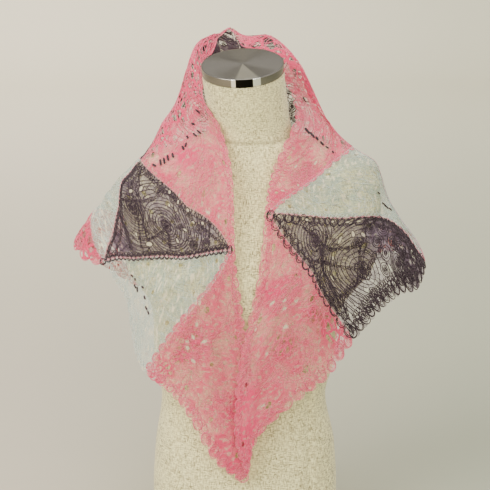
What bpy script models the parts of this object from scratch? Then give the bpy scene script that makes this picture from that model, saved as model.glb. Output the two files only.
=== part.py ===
"""A patchwork lace scarf, draped open over the shoulders of a limbless dress form.

The scarf is sewn from fourteen equal half-square triangles of lace. Each one is cut flat, with its
lace gaps and its scalloped free edges, then draped: a smooth sheet is laid through the corners and
seams of the patchwork, kept clear of the form, and given its soft folds. The form is a linen torso
that stands on its own flat base, with a leaning neck and a round steel cap.

Metres, +Z up. The origin is the middle of the form's flat base. The front of the form faces -Y.
"""

import math

import bmesh
import bpy
import numpy as np
from mathutils import Euler, Vector

MM = 0.001

# Driving dimensions of the cloth, in metres
LEG = 0.230  # short side of one half-square patch
HYPOTENUSE = LEG * math.sqrt(2)
CLOTH_WALL = 0.0012
SEAM_GAP = 0.0006
CLEAR_OF_FORM = 0.0035
GRID = 12  # cells along each side of a patch
LACE_GAPS = (0.0048, 0.0038, 0.0056)  # corner cut of a gap, three sizes in turn
SCALLOP_DEPTH = 0.0040

# Driving dimensions of the form, in metres
RING_POINTS = 36
RINGS_BETWEEN = 3
CAP_RADIUS = 0.0565
CAP_HEIGHT = 0.0120
CAP_BEVEL = 0.0012
CAP_GAP = 0.0003
NECK_TOP = (-0.0028, -0.0215, 0.6735)  # middle of the flat top of the neck
NECK_FORWARD = math.radians(15.0)  # how far the neck's top leans to the front
NECK_ASIDE = math.radians(3.0)  # and to the side
NECK_BASE_HEIGHT = 0.590

# The form's sections in millimetres, from the base up to the foot of the neck's flat top:
# height, middle in x, half width, front in y, back in y, squareness (2 is an ellipse)
FORM_SECTIONS = (
    (0, 0, 133, -97, 103, 2.3),
    (60, 0, 134, -99, 104, 2.3),
    (130, 0, 130, -95, 97, 2.3),
    (208, -2, 118, -86, 82, 2.2),
    (262, -1, 129, -94, 83, 2.2),
    (314, 1, 131, -106, 88, 2.2),
    (344, 3, 136, -112, 92, 2.2),
    (368, 5, 151, -114, 95, 2.2),
    (393, 7, 172, -114, 97, 2.1),
    (430, 9, 179, -108, 99, 2.1),
    (480, 10, 181, -93, 98, 2.1),
    (515, 10, 179, -78, 91, 2.0),
    (540, 10, 162, -70, 84, 2.0),
    (556, 10, 134, -66, 77, 2.0),
    (573, 9.5, 96, -62, 66, 2.0),
    (590, 8, 59, -60, 54, 2.0),
    (612, 5, 56, -63, 49, 2.0),
    (642, 1, 56, -70, 42, 2.0),
    (673.5, -2.8, 56, -77.5, 34.5, 2.0),
)

# The corners of the patchwork: where each lies on the flat cut, in hypotenuses along the front
# and neck edge from the left tip and across from it, and where it lies when worn, in millimetres.
# Left and right are the viewer's.
CORNERS = {
    "tip_left": (0, 0, -1, -112, 117),
    "front_left": (1, 0, -17, -120, 448),
    "elbow_left": (0.5, 0.5, -136, -88, 267),
    "wing_left": (1, 1, -199, -22, 406),
    "shoulder_left": (1.5, 0.5, -145, -5, 547),
    "nape": (2, 0, -19, 95, 722),
    "back_middle": (2, 1, 0, 122, 398),
    "tail_left": (1.5, 1.5, -85, 122, 290),
    "tail_right": (2.5, 1.5, 88, 122, 292),
    "shoulder_right": (2.5, 0.5, 149, -5, 567),
    "wing_right": (3, 1, 254, 0, 403),
    "elbow_right": (3.5, 0.5, 147, -92, 318),
    "front_right": (3, 0, 31, -110, 496),
    "tip_right": (4, 0, 3, -122, 130),
}

# The seams and free edges between two corners. After the corners come the points that the edge
# passes through when worn: the share of its length, then x, y and z in millimetres.
SEAMS = (
    ("tip_left", "front_left", (0.25, 10, -112, 204), (0.5, 4, -116, 285), (0.75, -8, -120, 367)),
    ("tip_left", "elbow_left", (0.25, -39, -114, 149), (0.5, -73, -114, 212), (0.75, -101, -104, 246)),
    ("elbow_left", "wing_left", (0.25, -154, -68, 303), (0.5, -163, -48, 358), (0.75, -181, -34, 386)),
    ("elbow_left", "front_left", (0.5, -74, -120, 362)),
    ("front_left", "wing_left", (0.25, -60, -116, 441), (0.5, -107, -98, 434), (0.75, -154, -62, 422)),
    ("front_left", "shoulder_left", (0.5, -78, -88, 501), (0.75, -111, -55, 526)),
    ("shoulder_left", "wing_left", (0.25, -171, -14, 520), (0.5, -176, -14, 485), (0.76, -185, -18, 447)),
    ("front_left", "nape", (0.2, -18, -107, 508), (0.4, -22, -87, 561), (0.55, -34, -56, 599)),
    ("front_left", "nape", (0.68, -53, -22, 638), (0.8, -60, 25, 667), (0.9, -49, 58, 690)),
    ("shoulder_left", "nape", (0.24, -115, 15, 598), (0.5, -86, 40, 651), (0.74, -65, 68, 704)),
    ("shoulder_left", "nape", (0.88, -43, 83, 714)),
    ("wing_left", "back_middle", (0.2, -217, 18, 467), (0.5, -150, 98, 432), (0.75, -72, 116, 410)),
    ("wing_left", "tail_left", (0.12, -228, 0, 409), (0.24, -244, 24, 425), (0.5, -188, 78, 366)),
    ("wing_left", "tail_left", (0.75, -135, 112, 325)),
    ("shoulder_left", "back_middle", (0.5, -110, 100, 480)),
    ("tail_left", "back_middle", (0.5, -44, 124, 345)),
    ("nape", "back_middle", (0.06, -15, 101, 702), (0.25, -8, 108, 642), (0.5, 0, 110, 560)),
    ("nape", "back_middle", (0.75, 0, 116, 478)),
    ("tail_right", "back_middle", (0.5, 45, 124, 346)),
    ("shoulder_right", "back_middle", (0.5, 112, 100, 484)),
    ("wing_right", "tail_right", (0.25, 243, 54, 408), (0.5, 188, 95, 391), (0.75, 132, 115, 350)),
    ("wing_right", "back_middle", (0.25, 230, 62, 432), (0.5, 160, 98, 436), (0.75, 80, 116, 414)),
    ("shoulder_right", "nape", (0.24, 106, 6, 610), (0.42, 83, 24, 638), (0.6, 72, 46, 674)),
    ("shoulder_right", "nape", (0.75, 54, 66, 699), (0.88, 28, 83, 713)),
    ("front_right", "nape", (0.62, 72, 12, 630), (0.73, 62, 33, 650), (0.86, 24, 56, 686)),
    ("front_right", "nape", (0.95, -3, 76, 703)),
    ("front_right", "nape", (0.2, 36, -95, 534), (0.4, 53, -70, 574), (0.52, 74, -20, 609)),
    ("shoulder_right", "wing_right", (0.25, 183, 2, 543), (0.5, 199, 16, 495), (0.76, 224, 22, 453)),
    ("front_right", "shoulder_right", (0.5, 85, -82, 532), (0.75, 118, -45, 552)),
    ("front_right", "wing_right", (0.25, 87, -98, 490), (0.5, 136, -72, 481), (0.7, 195, -25, 470)),
    ("front_right", "wing_right", (0.85, 228, -10, 442)),
    ("elbow_right", "front_right", (0.5, 90, -118, 417)),
    ("elbow_right", "wing_right", (0.25, 178, -75, 350), (0.5, 204, -55, 369), (0.75, 237, -30, 375)),
    ("tip_right", "elbow_right", (0.25, 12, -122, 181), (0.5, 62, -120, 234), (0.75, 111, -108, 271)),
    ("tip_right", "front_right", (0.25, -11, -123, 209), (0.5, -3, -124, 298), (0.75, 19, -121, 393)),
)

# Places inside a patch that shape its main fold: along, across, then x, y and z in millimetres
INNER_PLACES = {
    "left collar crease by the neck": (1.57, 0.1, -58, -16, 609),
    "left collar front": (1.35, 0.17, -55, -72, 560),
    "left collar crease by the shoulder": (1.54, 0.27, -90, -10, 580),
    "left mint front": (0.8, 0.5, -127, -98, 372),
    "left black front": (1.25, 0.5, -126, -80, 491),
    "left mint back": (1.3, 0.82, -196, 12, 493),
    "right collar crease by the neck": (2.48, 0.12, 101, -12, 592),
    "right collar crease by the shoulder": (2.5, 0.3, 126, -10, 573),
    "right pink front": (3.5, 0.25, 72, -122, 337),
    "right black front": (3.2, 0.5, 118, -98, 426),
    "right black wing": (3.12, 0.8, 212, -45, 412),
    "left back fall": (1.75, 0.5, -72, 104, 566),
    "right back fall": (2.25, 0.5, 76, 102, 566),
}

# The soft folds: start and end on the flat cut (along, across), half width and height in
# millimetres. A ridge has a height above 0, a trough below 0.
FOLDS = (
    ("left front trough", 0.15, 0.06, 0.92, 0.16, 11, -3.0),
    ("left front ridge", 0.3, 0.2, 0.86, 0.12, 10, 3.0),
    ("left elbow ridge", 0.48, 0.4, 0.8, 0.2, 10, 3.5),
    ("left mint drape", 0.78, 0.62, 0.94, 0.22, 12, 4.0),
    ("left black drape", 1.3, 0.42, 1.1, 0.62, 12, 3.5),
    ("right front ridge", 3.86, 0.08, 3.2, 0.12, 10, 3.0),
    ("right front trough", 3.62, 0.26, 3.22, 0.2, 10, -2.5),
    ("right black ridge", 3.06, 0.3, 3.14, 0.86, 14, 5.0),
    ("right black trough", 3.24, 0.34, 3.3, 0.62, 11, -4.0),
    ("right shoulder ridge", 2.64, 0.52, 2.92, 0.66, 12, 4.0),
    ("left back ridge", 1.86, 0.3, 1.62, 1.1, 13, 5.0),
    ("middle back trough", 2.0, 0.35, 2.02, 0.92, 14, -4.0),
    ("right back ridge", 2.16, 0.3, 2.4, 1.15, 13, 5.0),
    ("left tail ridge", 1.7, 1.05, 1.56, 1.38, 11, 4.0),
    ("right tail ridge", 2.32, 1.05, 2.46, 1.38, 11, 4.0),
)

PINK = (0.80, 0.22, 0.32, 1.0)
MINT = (0.62, 0.70, 0.68, 1.0)
BLACK = (0.045, 0.035, 0.042, 1.0)
LINEN = (0.66, 0.60, 0.50, 1.0)
STEEL = (0.42, 0.41, 0.40, 1.0)

# The patches: node name, colour, its three corners, and the corner pairs that are free edges
PATCHES = (
    ("pink_front_left", PINK, ("tip_left", "elbow_left", "front_left"),
     (("tip_left", "elbow_left"), ("tip_left", "front_left"))),
    ("mint_front_left", MINT, ("elbow_left", "wing_left", "front_left"), (("elbow_left", "wing_left"),)),
    ("black_front_left", BLACK, ("wing_left", "shoulder_left", "front_left"), ()),
    ("pink_collar_left", PINK, ("shoulder_left", "nape", "front_left"), (("nape", "front_left"),)),
    ("black_back_left", BLACK, ("back_middle", "nape", "shoulder_left"), ()),
    ("mint_back_left", MINT, ("wing_left", "back_middle", "shoulder_left"), ()),
    ("pink_back_left", PINK, ("tail_left", "back_middle", "wing_left"),
     (("tail_left", "wing_left"), ("tail_left", "back_middle"))),
    ("pink_back_right", PINK, ("wing_right", "back_middle", "tail_right"),
     (("tail_right", "wing_right"), ("tail_right", "back_middle"))),
    ("mint_back_right", MINT, ("shoulder_right", "back_middle", "wing_right"), ()),
    ("black_back_right", BLACK, ("shoulder_right", "nape", "back_middle"), ()),
    ("pink_collar_right", PINK, ("front_right", "nape", "shoulder_right"), (("nape", "front_right"),)),
    ("mint_front_right", MINT, ("front_right", "shoulder_right", "wing_right"), ()),
    ("black_front_right", BLACK, ("front_right", "wing_right", "elbow_right"),
     (("wing_right", "elbow_right"),)),
    ("pink_front_right", PINK, ("front_right", "elbow_right", "tip_right"),
     (("tip_right", "elbow_right"), ("tip_right", "front_right"))),
)


def new_collection(name):
    """A collection in the scene for the object's pieces."""
    collection = bpy.data.collections.new(name)
    bpy.context.scene.collection.children.link(collection)
    return collection


def finish(name, colour, roughness, metallic=0.0):
    """A plain material of its own for one sub-part."""
    material = bpy.data.materials.new(name + "_finish")
    material.use_nodes = True
    shader = material.node_tree.nodes["Principled BSDF"]
    shader.inputs["Base Color"].default_value = colour
    shader.inputs["Roughness"].default_value = roughness
    shader.inputs["Metallic"].default_value = metallic
    return material


def add_object(name, bm, material, collection):
    """Turns a bmesh into a named, smoothly shaded object."""
    mesh = bpy.data.meshes.new(name)
    bm.to_mesh(mesh)
    bm.free()
    mesh.shade_smooth()
    mesh.materials.append(material)
    piece = bpy.data.objects.new(name, mesh)
    collection.objects.link(piece)
    return piece


def steady_curve(xs, ys, x):
    """Reads a smooth curve through a table's column, with no overshoot between its rows."""
    steps = np.diff(xs)
    slopes = np.diff(ys) / steps
    tangents = np.zeros(len(xs))
    tangents[0], tangents[-1] = slopes[0], slopes[-1]
    for i in range(1, len(xs) - 1):
        if slopes[i - 1] * slopes[i] > 0:
            before = 2 * steps[i] + steps[i - 1]
            after = steps[i] + 2 * steps[i - 1]
            tangents[i] = (before + after) / (before / slopes[i - 1] + after / slopes[i])
    at = np.clip(np.searchsorted(xs, x, side="right") - 1, 0, len(steps) - 1)
    t = (x - xs[at]) / steps[at]
    return (
        ys[at] * (1 + 2 * t) * (1 - t) ** 2
        + tangents[at] * steps[at] * t * (1 - t) ** 2
        + ys[at + 1] * t * t * (3 - 2 * t)
        + tangents[at + 1] * steps[at] * t * t * (t - 1)
    )


SECTION_TABLE = np.array(FORM_SECTIONS, dtype=float)
SECTION_TABLE[:, :5] *= MM


def form_section(height):
    """The form's section at a height: middle x and y, half width, half depth and squareness."""
    z = np.clip(height, SECTION_TABLE[0, 0], SECTION_TABLE[-1, 0])
    middle, half, front, back, square = (
        steady_curve(SECTION_TABLE[:, 0], SECTION_TABLE[:, column], z) for column in range(1, 6)
    )
    return middle, (front + back) / 2, half, (back - front) / 2, square


def outside_form(points):
    """How far outside the form's surface each point is, as a share of its section, minus one."""
    middle_x, middle_y, half, deep, square = form_section(points[:, 2])
    across = np.abs(points[:, 0] - middle_x) / half
    along = np.abs(points[:, 1] - middle_y) / deep
    return (across**square + along**square) ** (1 / square) - 1


def slope_of(field, points, step=0.0005):
    """The direction and rate in which a field grows fastest at each point."""
    columns = []
    for axis in range(3):
        shift = np.zeros(3)
        shift[axis] = step
        columns.append((field(points + shift) - field(points - shift)) / (2 * step))
    return np.stack(columns, axis=1)


def push_clear(points, clearance):
    """Moves points that are nearer to the form than the clearance straight off its surface."""
    points = points.copy()
    for _ in range(6):
        share = outside_form(points)
        slope = slope_of(outside_form, points)
        steep = np.linalg.norm(slope, axis=1)
        distance = share / np.maximum(steep, 1e-6)
        short = np.maximum(clearance - distance, 0.0)
        points += slope / np.maximum(steep, 1e-6)[:, None] * np.minimum(short, 0.02)[:, None]
    return points


def away_from(sheet, flat, step=0.004):
    """The direction in which a sheet faces outward, at places on the flat cut."""
    along, across = np.array([step, 0.0]), np.array([0.0, step])
    run = sheet(flat + along) - sheet(flat - along)
    fall = sheet(flat + across) - sheet(flat - across)
    away = np.cross(run, fall)
    return away / np.maximum(np.linalg.norm(away, axis=1), 1e-9)[:, None]


def bend(distance):
    """The kernel of a thin plate that is bent through given points."""
    return np.where(distance > 0, distance**2 * np.log(np.maximum(distance, 1e-12)), 0.0)


class Drape:
    """The worn cloth as one smooth sheet over the flat cut, bent through its corners and seams."""

    def __init__(self):
        flat, worn = [], []
        for along, across, *place in CORNERS.values():
            flat.append((along, across))
            worn.append(place)
        for start, end, *passes in SEAMS:
            a, b = np.array(CORNERS[start][:2]), np.array(CORNERS[end][:2])
            for share, *place in passes:
                flat.append(tuple(a + (b - a) * share))
                worn.append(place)
        for along, across, *place in INNER_PLACES.values():
            flat.append((along, across))
            worn.append(place)
        self.flat = np.array(flat)
        worn = np.array(worn) * MM
        count = len(self.flat)
        gaps = np.linalg.norm(self.flat[:, None] - self.flat[None], axis=2)
        plane = np.column_stack([np.ones(count), self.flat])
        system = np.zeros((count + 3, count + 3))
        system[:count, :count] = bend(gaps)
        system[:count, count:] = plane
        system[count:, :count] = plane.T
        right = np.zeros((count + 3, 3))
        right[:count] = worn
        self.weights = np.linalg.solve(system, right)

    def smooth(self, flat):
        """The sheet before its folds, at places on the flat cut."""
        gaps = np.linalg.norm(flat[:, None] - self.flat[None], axis=2)
        plane = np.column_stack([np.ones(len(flat)), flat])
        return bend(gaps) @ self.weights[: len(self.flat)] + plane @ self.weights[len(self.flat):]

    def creased(self, flat):
        """The sheet with its soft folds, clear of the form."""
        lift = np.zeros(len(flat))
        for _, a1, c1, a2, c2, width, height in FOLDS:
            start, run = np.array([a1, c1]), np.array([a2 - a1, c2 - c1])
            share = ((flat - start) @ run) / (run @ run)
            nearest = start + np.clip(share, 0, 1)[:, None] * run
            off = np.linalg.norm(flat - nearest, axis=1) * HYPOTENUSE
            fade = np.sin(np.pi * np.clip(share, 0.0, 1.0)) ** 0.7
            lift += height * MM * fade * np.exp(-((off / (width * MM)) ** 2))
        place = self.smooth(flat) + away_from(self.smooth, flat) * lift[:, None]
        return push_clear(place, CLEAR_OF_FORM)

    def worn(self, plate):
        """Lays a thin flat plate of cloth, given in metres, on the sheet."""
        flat = plate[:, :2] / HYPOTENUSE
        return self.creased(flat) + away_from(self.creased, flat) * plate[:, 2:]


def flat_corner(name):
    """A corner's place on the flat cut, in metres."""
    along, across = CORNERS[name][:2]
    return Vector((along * HYPOTENUSE, across * HYPOTENUSE, 0.0))


def inset_triangle(corners, inset):
    """A flat triangle made smaller by the same distance along each side."""
    a, b, c = corners
    sides = ((b - c).length, (c - a).length, (a - b).length)
    centre = (a * sides[0] + b * sides[1] + c * sides[2]) / sum(sides)
    radius = (b - a).cross(c - a).length / sum(sides)
    return [centre + (corner - centre) * (1 - inset / radius) for corner in corners]


def lies_on(place, start, end, within=1e-5):
    """Whether a flat place lies on the line between two others."""
    run = end - start
    return (place - start).cross(run).length / run.length < within


def set_back(bm, corners, inset):
    """Moves a patch's rim in from its seam lines, straight across them, so that neighbours match."""
    smaller = inset_triangle(corners, inset)
    rim = [vert for vert in bm.verts if vert.is_boundary]
    tips = [min(rim, key=lambda vert: (vert.co - corner).length) for corner in corners]
    for n in range(3):
        start, end, across = corners[n], corners[(n + 1) % 3], corners[(n + 2) % 3]
        run = (end - start).normalized()
        inward = across - start
        inward = (inward - run * inward.dot(run)).normalized()
        for vert in rim:
            if vert not in tips and lies_on(vert.co, start, end):
                vert.co += inward * inset
    for tip, corner in zip(tips, smaller):
        tip.co = corner
    return smaller


def gap_places(bm, corners, dense):
    """The grid points of a patch that become lace gaps, none of them neighbours."""
    origin = corners[0]
    one, two = (corners[1] - origin) / GRID, (corners[2] - origin) / GRID
    turn = one.cross(two).z
    chosen = []
    for vert in bm.verts:
        place = vert.co - origin
        i = round(place.cross(two).z / turn)
        j = round(one.cross(place).z / turn)
        inside = i > 0 and j > 0 and i + j < GRID
        wanted = (i - j) % 3 == 0 if dense else i % 3 == 1 and j % 3 == 1
        if inside and wanted:
            chosen.append(vert)
    return chosen


def cut_gaps(bm, chosen):
    """Opens each chosen grid point into a six-sided gap."""
    for size, offset in enumerate(LACE_GAPS):
        group = [vert for vert in chosen[size :: len(LACE_GAPS)] if vert.is_valid]
        made = bmesh.ops.bevel(
            bm, geom=group, offset=offset, offset_type="OFFSET", segments=1, profile=0.5,
            affect="VERTICES", material=-1,
        )
        gaps = [face for face in made["faces"] if face.is_valid and len(face.verts) == 6]
        bmesh.ops.delete(bm, geom=gaps, context="FACES")


def scallop(bm, start, end, middle):
    """Divides one free edge of a flat patch and rounds each stretch of it outward."""
    line = [e for e in bm.edges if e.is_boundary and all(lies_on(v.co, start, end) for v in e.verts)]
    outward = ((start + end) / 2 - middle)
    run = (end - start).normalized()
    outward = (outward - run * outward.dot(run)).normalized()
    made = bmesh.ops.subdivide_edges(bm, edges=line, cuts=2)
    for vert in (v for v in made["geom_inner"] if isinstance(v, bmesh.types.BMVert)):
        vert.co += outward * SCALLOP_DEPTH


def make_patch(drape, collection, name, colour, corner_names, free_edges):
    """Cuts one lace triangle from flat cloth, gives it its thickness and drapes it."""
    corners = [flat_corner(corner) for corner in corner_names]
    bm = bmesh.new()
    bm.faces.new([bm.verts.new(corner) for corner in corners])
    bmesh.ops.subdivide_edges(bm, edges=bm.edges[:], cuts=GRID - 1, use_grid_fill=True)
    gaps = gap_places(bm, corners, dense=colour is BLACK)
    corners = set_back(bm, corners, SEAM_GAP / 2)
    cut_gaps(bm, gaps)
    middle = sum(corners, Vector()) / 3
    for start, end in free_edges:
        a, b = corners[corner_names.index(start)], corners[corner_names.index(end)]
        scallop(bm, a, b, middle)
    bmesh.ops.triangulate(bm, faces=bm.faces[:])
    bmesh.ops.translate(bm, verts=bm.verts[:], vec=(0.0, 0.0, -CLOTH_WALL / 2))
    whole = bm.verts[:] + bm.edges[:] + bm.faces[:]
    raised = bmesh.ops.extrude_face_region(bm, geom=whole, use_keep_orig=True)["geom"]
    upper = [part for part in raised if isinstance(part, bmesh.types.BMVert)]
    bmesh.ops.translate(bm, verts=upper, vec=(0.0, 0.0, CLOTH_WALL))
    bmesh.ops.triangulate(bm, faces=bm.faces[:])
    bmesh.ops.recalc_face_normals(bm, faces=bm.faces[:])
    plate = np.array([vert.co[:] for vert in bm.verts])
    for vert, place in zip(bm.verts, drape.worn(plate)):
        vert.co = place
    return add_object(name, bm, finish(name, colour, 0.9), collection)


def form_rings():
    """The heights of the form's rings: each row of the table and a few between."""
    rows = SECTION_TABLE[:, 0]
    heights = []
    for low, high in zip(rows[:-1], rows[1:]):
        heights += list(np.linspace(low, high, RINGS_BETWEEN + 1)[:-1])
    return heights + [rows[-1]]


def make_form(collection):
    """The linen torso and neck: a loft through its sections, closed flat at base and neck top."""
    bm = bmesh.new()
    angles = np.linspace(0, 2 * np.pi, RING_POINTS, endpoint=False)
    rings = []
    for height in form_rings():
        x, y, half, deep, square = (float(column[0]) for column in form_section(np.array([height])))
        lean = max(0.0, (height - NECK_BASE_HEIGHT) / (SECTION_TABLE[-1, 0] - NECK_BASE_HEIGHT))
        ring = []
        for angle in angles:
            cosine, sine = math.cos(angle), math.sin(angle)
            dx = half * math.copysign(abs(cosine) ** (2 / square), cosine)
            dy = deep * math.copysign(abs(sine) ** (2 / square), sine)
            tilt = lean * (math.tan(NECK_FORWARD) * dy + math.tan(NECK_ASIDE) * dx)
            ring.append(bm.verts.new((x + dx, y + dy, height + tilt)))
        rings.append(ring)
    loops = [[bm.edges.new((r[i], r[i - 1])) for i in range(RING_POINTS)] for r in rings]
    for low, high in zip(loops[:-1], loops[1:]):
        bmesh.ops.bridge_loops(bm, edges=low + high)
    bmesh.ops.holes_fill(bm, edges=loops[0] + loops[-1], sides=RING_POINTS)
    bmesh.ops.recalc_face_normals(bm, faces=bm.faces[:])
    return add_object("form_body", bm, finish("form_body", LINEN, 0.95), collection)


def make_cap(collection):
    """The round steel cap on the flat top of the neck."""
    bm = bmesh.new()
    bmesh.ops.create_cone(
        bm, cap_ends=True, segments=48, radius1=CAP_RADIUS, radius2=CAP_RADIUS, depth=CAP_HEIGHT
    )
    rims = [e for e in bm.edges if all(abs(abs(v.co.z) - CAP_HEIGHT / 2) < 1e-6 for v in e.verts)
            and len({round(v.co.z, 6) for v in e.verts}) == 1]
    bmesh.ops.bevel(
        bm, geom=rims, offset=CAP_BEVEL, offset_type="OFFSET", segments=2, profile=0.5,
        affect="EDGES", material=-1,
    )
    piece = add_object("neck_cap", bm, finish("neck_cap", STEEL, 0.3, 1.0), collection)
    piece.data.set_sharp_from_angle(angle=math.radians(35))
    turn = Euler((math.atan(math.tan(NECK_FORWARD)), -NECK_ASIDE, 0.0))
    piece.rotation_euler = turn
    up = turn.to_matrix() @ Vector((0, 0, 1))
    piece.location = Vector(NECK_TOP) + up * (CAP_HEIGHT / 2 + CAP_GAP)
    return piece


def main():
    for piece in list(bpy.data.objects):
        bpy.data.objects.remove(piece, do_unlink=True)
    collection = new_collection("patchwork_scarf_on_form")
    make_form(collection)
    make_cap(collection)
    drape = Drape()
    for name, colour, corner_names, free_edges in PATCHES:
        make_patch(drape, collection, name, colour, corner_names, free_edges)
    bpy.context.view_layer.update()


main()
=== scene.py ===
# %% [markdown]
# # A patchwork lace scarf on a dress form
#
# The scarf is fourteen triangles of light lace in pink, mint and black, worn open round the neck of a
# linen dress form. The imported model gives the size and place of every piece. This script dresses it:
# each triangle becomes a thin, see-through shell of fine net with its thicker yarn laid over it, and
# the form gets its linen and its steel cap. Left and right are the viewer's.

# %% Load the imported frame
import math

import bmesh
import bpy
import numpy as np
from mathutils import Euler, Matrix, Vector


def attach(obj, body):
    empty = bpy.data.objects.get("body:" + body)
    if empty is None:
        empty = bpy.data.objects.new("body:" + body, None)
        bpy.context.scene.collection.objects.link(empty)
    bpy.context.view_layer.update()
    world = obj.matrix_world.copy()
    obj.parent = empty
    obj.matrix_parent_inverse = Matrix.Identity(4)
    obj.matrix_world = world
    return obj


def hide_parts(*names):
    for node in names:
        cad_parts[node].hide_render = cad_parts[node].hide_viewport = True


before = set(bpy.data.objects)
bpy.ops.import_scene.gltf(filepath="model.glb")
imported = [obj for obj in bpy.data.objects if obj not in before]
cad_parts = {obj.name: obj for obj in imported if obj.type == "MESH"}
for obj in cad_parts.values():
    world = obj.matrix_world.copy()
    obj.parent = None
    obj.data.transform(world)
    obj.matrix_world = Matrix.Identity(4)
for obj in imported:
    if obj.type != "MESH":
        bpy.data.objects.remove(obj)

MM = 0.001
scene = bpy.context.scene
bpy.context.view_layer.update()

# %% [markdown]
# ## The camera
#
# The photo looks slightly down on the scarf. The sides of the form lean together very little, so it
# was taken with a long lens from a good two metres away. A camera needs only a place, a tilt and a
# lens: it stands on a circle round the aim point, raised by its angle, and looks back at that point.

# %% Place the camera
CAMERA_RISE = math.radians(14)
CAMERA_DISTANCE = 2.2
AIM_HEIGHT = 0.425
LENS_MM = 114.2
SENSOR_MM = 36.0


def add_camera():
    data = bpy.data.cameras.new("studio_camera")
    data.sensor_width = SENSOR_MM
    data.lens = LENS_MM
    camera = bpy.data.objects.new("studio_camera", data)
    scene.collection.objects.link(camera)
    back = CAMERA_DISTANCE * math.cos(CAMERA_RISE)
    up = CAMERA_DISTANCE * math.sin(CAMERA_RISE)
    camera.location = (0.0, -back, AIM_HEIGHT + up)
    camera.rotation_euler = (math.pi / 2 - CAMERA_RISE, 0.0, 0.0)
    return camera


scene.camera = add_camera()
print("camera at", tuple(round(c, 3) for c in scene.camera.location))

# %% [markdown]
# ## Helpers for materials
#
# Every finish here is a small tree of nodes. Two helpers keep the trees readable: one makes a node
# and sets its values, the other joins two sockets.

# %% Helpers that make and join shader nodes


class Finish:
    """A material under construction: its nodes and links, made a line at a time."""

    def __init__(self, name, **constants):
        self.material = bpy.data.materials.new(name)
        self.material.use_nodes = True
        self.tree = self.material.node_tree
        self.shader = self.tree.nodes["Principled BSDF"]
        for socket, value in constants.items():
            self.shader.inputs[socket.replace("_", " ")].default_value = value

    def node(self, kind, **settings):
        """Adds a node. Lower-case settings are its properties."""
        made = self.tree.nodes.new("ShaderNode" + kind)
        for name, value in settings.items():
            setattr(made, name, value)
        return made

    def join(self, start, end):
        """Links an output to an input, or sets the input where start is a plain value."""
        if isinstance(start, bpy.types.NodeSocket):
            self.tree.links.new(start, end)
        else:
            end.default_value = start

    def math(self, operation, *values, clamp=False):
        """A Math node on sockets or numbers, read as one value."""
        made = self.node("Math", operation=operation, use_clamp=clamp)
        for value, socket in zip(values, made.inputs):
            self.join(value, socket)
        return made.outputs[0]

    def mix(self, share, first, second):
        """A blend of two colours."""
        made = self.node("Mix", data_type="RGBA")
        for value, socket in zip((share, first, second), (made.inputs[0], made.inputs[6], made.inputs[7])):
            self.join(value, socket)
        return made.outputs[2]

    def ramp(self, value, low, high):
        """Stretches the stretch from low to high of a value to the range 0 to 1."""
        made = self.node("MapRange", clamp=True)
        for item, socket in zip((value, low, high, 0.0, 1.0), made.inputs):
            self.join(item, socket)
        return made.outputs[0]

    def noise(self, where, scale, detail=2.0, stretch=(1, 1, 1)):
        """Soft noise, finer along the axes with a larger stretch."""
        shift = self.node("Mapping")
        self.join(where, shift.inputs["Vector"])
        shift.inputs["Scale"].default_value = stretch
        made = self.node("TexNoise")
        self.join(shift.outputs[0], made.inputs["Vector"])
        made.inputs["Scale"].default_value = scale
        made.inputs["Detail"].default_value = detail
        return made.outputs[0]

    def cells(self, where, scale):
        """The distance to the nearest cell edge of a random cell pattern."""
        made = self.node("TexVoronoi", feature="DISTANCE_TO_EDGE")
        self.join(where, made.inputs["Vector"])
        made.inputs["Scale"].default_value = scale
        return made.outputs["Distance"]

    def bump(self, height, strength, distance):
        """Turns a height into a bump on the shader."""
        made = self.node("Bump")
        self.join(height, made.inputs["Height"])
        made.inputs["Strength"].default_value = strength
        made.inputs["Distance"].default_value = distance
        self.join(made.outputs[0], self.shader.inputs["Normal"])


# %% [markdown]
# ## The studio
#
# The photo has a plain pale wall and soft light that comes mainly from the left. A floor that curves
# up into a wall leaves no line behind the form. It grows from one edge: pulled back, turned up
# through a quarter circle, and pulled up again. The wall is not evenly lit in the photo: it darkens
# to the right and towards the floor, and turns a little green. Lamps alone would need a whole room
# round them to do that, so the paint carries it: four paints, near and far, left and right, blend
# over the sweep, and one more lamp lights the far wall.

# %% Build the floor and wall
SWEEP_HALF_WIDTH = 7.0
SWEEP_FRONT = -6.0
SWEEP_BACK = 4.6
SWEEP_RADIUS = 1.4
SWEEP_HEIGHT = 4.0


def add_sweep():
    bm = bmesh.new()
    ends = [bm.verts.new((side * SWEEP_HALF_WIDTH, SWEEP_FRONT, 0.0)) for side in (-1, 1)]
    edge = bm.edges.new(ends)

    def pull(geometry, shift):
        made = bmesh.ops.extrude_edge_only(bm, edges=geometry)["geom"]
        moved = [v for v in made if isinstance(v, bmesh.types.BMVert)]
        bmesh.ops.translate(bm, verts=moved, vec=shift)
        return [e for e in made if isinstance(e, bmesh.types.BMEdge)]

    edges = pull([edge], (0.0, SWEEP_BACK - SWEEP_FRONT, 0.0))
    turned = bmesh.ops.spin(
        bm, geom=edges, cent=(0.0, SWEEP_BACK, SWEEP_RADIUS), axis=(1.0, 0.0, 0.0),
        angle=math.pi / 2, steps=24, use_duplicate=False,
    )["geom_last"]
    pull([e for e in turned if isinstance(e, bmesh.types.BMEdge)], (0.0, 0.0, SWEEP_HEIGHT))
    bmesh.ops.recalc_face_normals(bm, faces=bm.faces[:])
    mesh = bpy.data.meshes.new("studio_sweep")
    bm.to_mesh(mesh)
    bm.free()
    mesh.shade_smooth()
    sweep = bpy.data.objects.new("studio_sweep", mesh)
    scene.collection.objects.link(sweep)
    return sweep


sweep = add_sweep()
print("sweep faces:", len(sweep.data.polygons))

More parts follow.
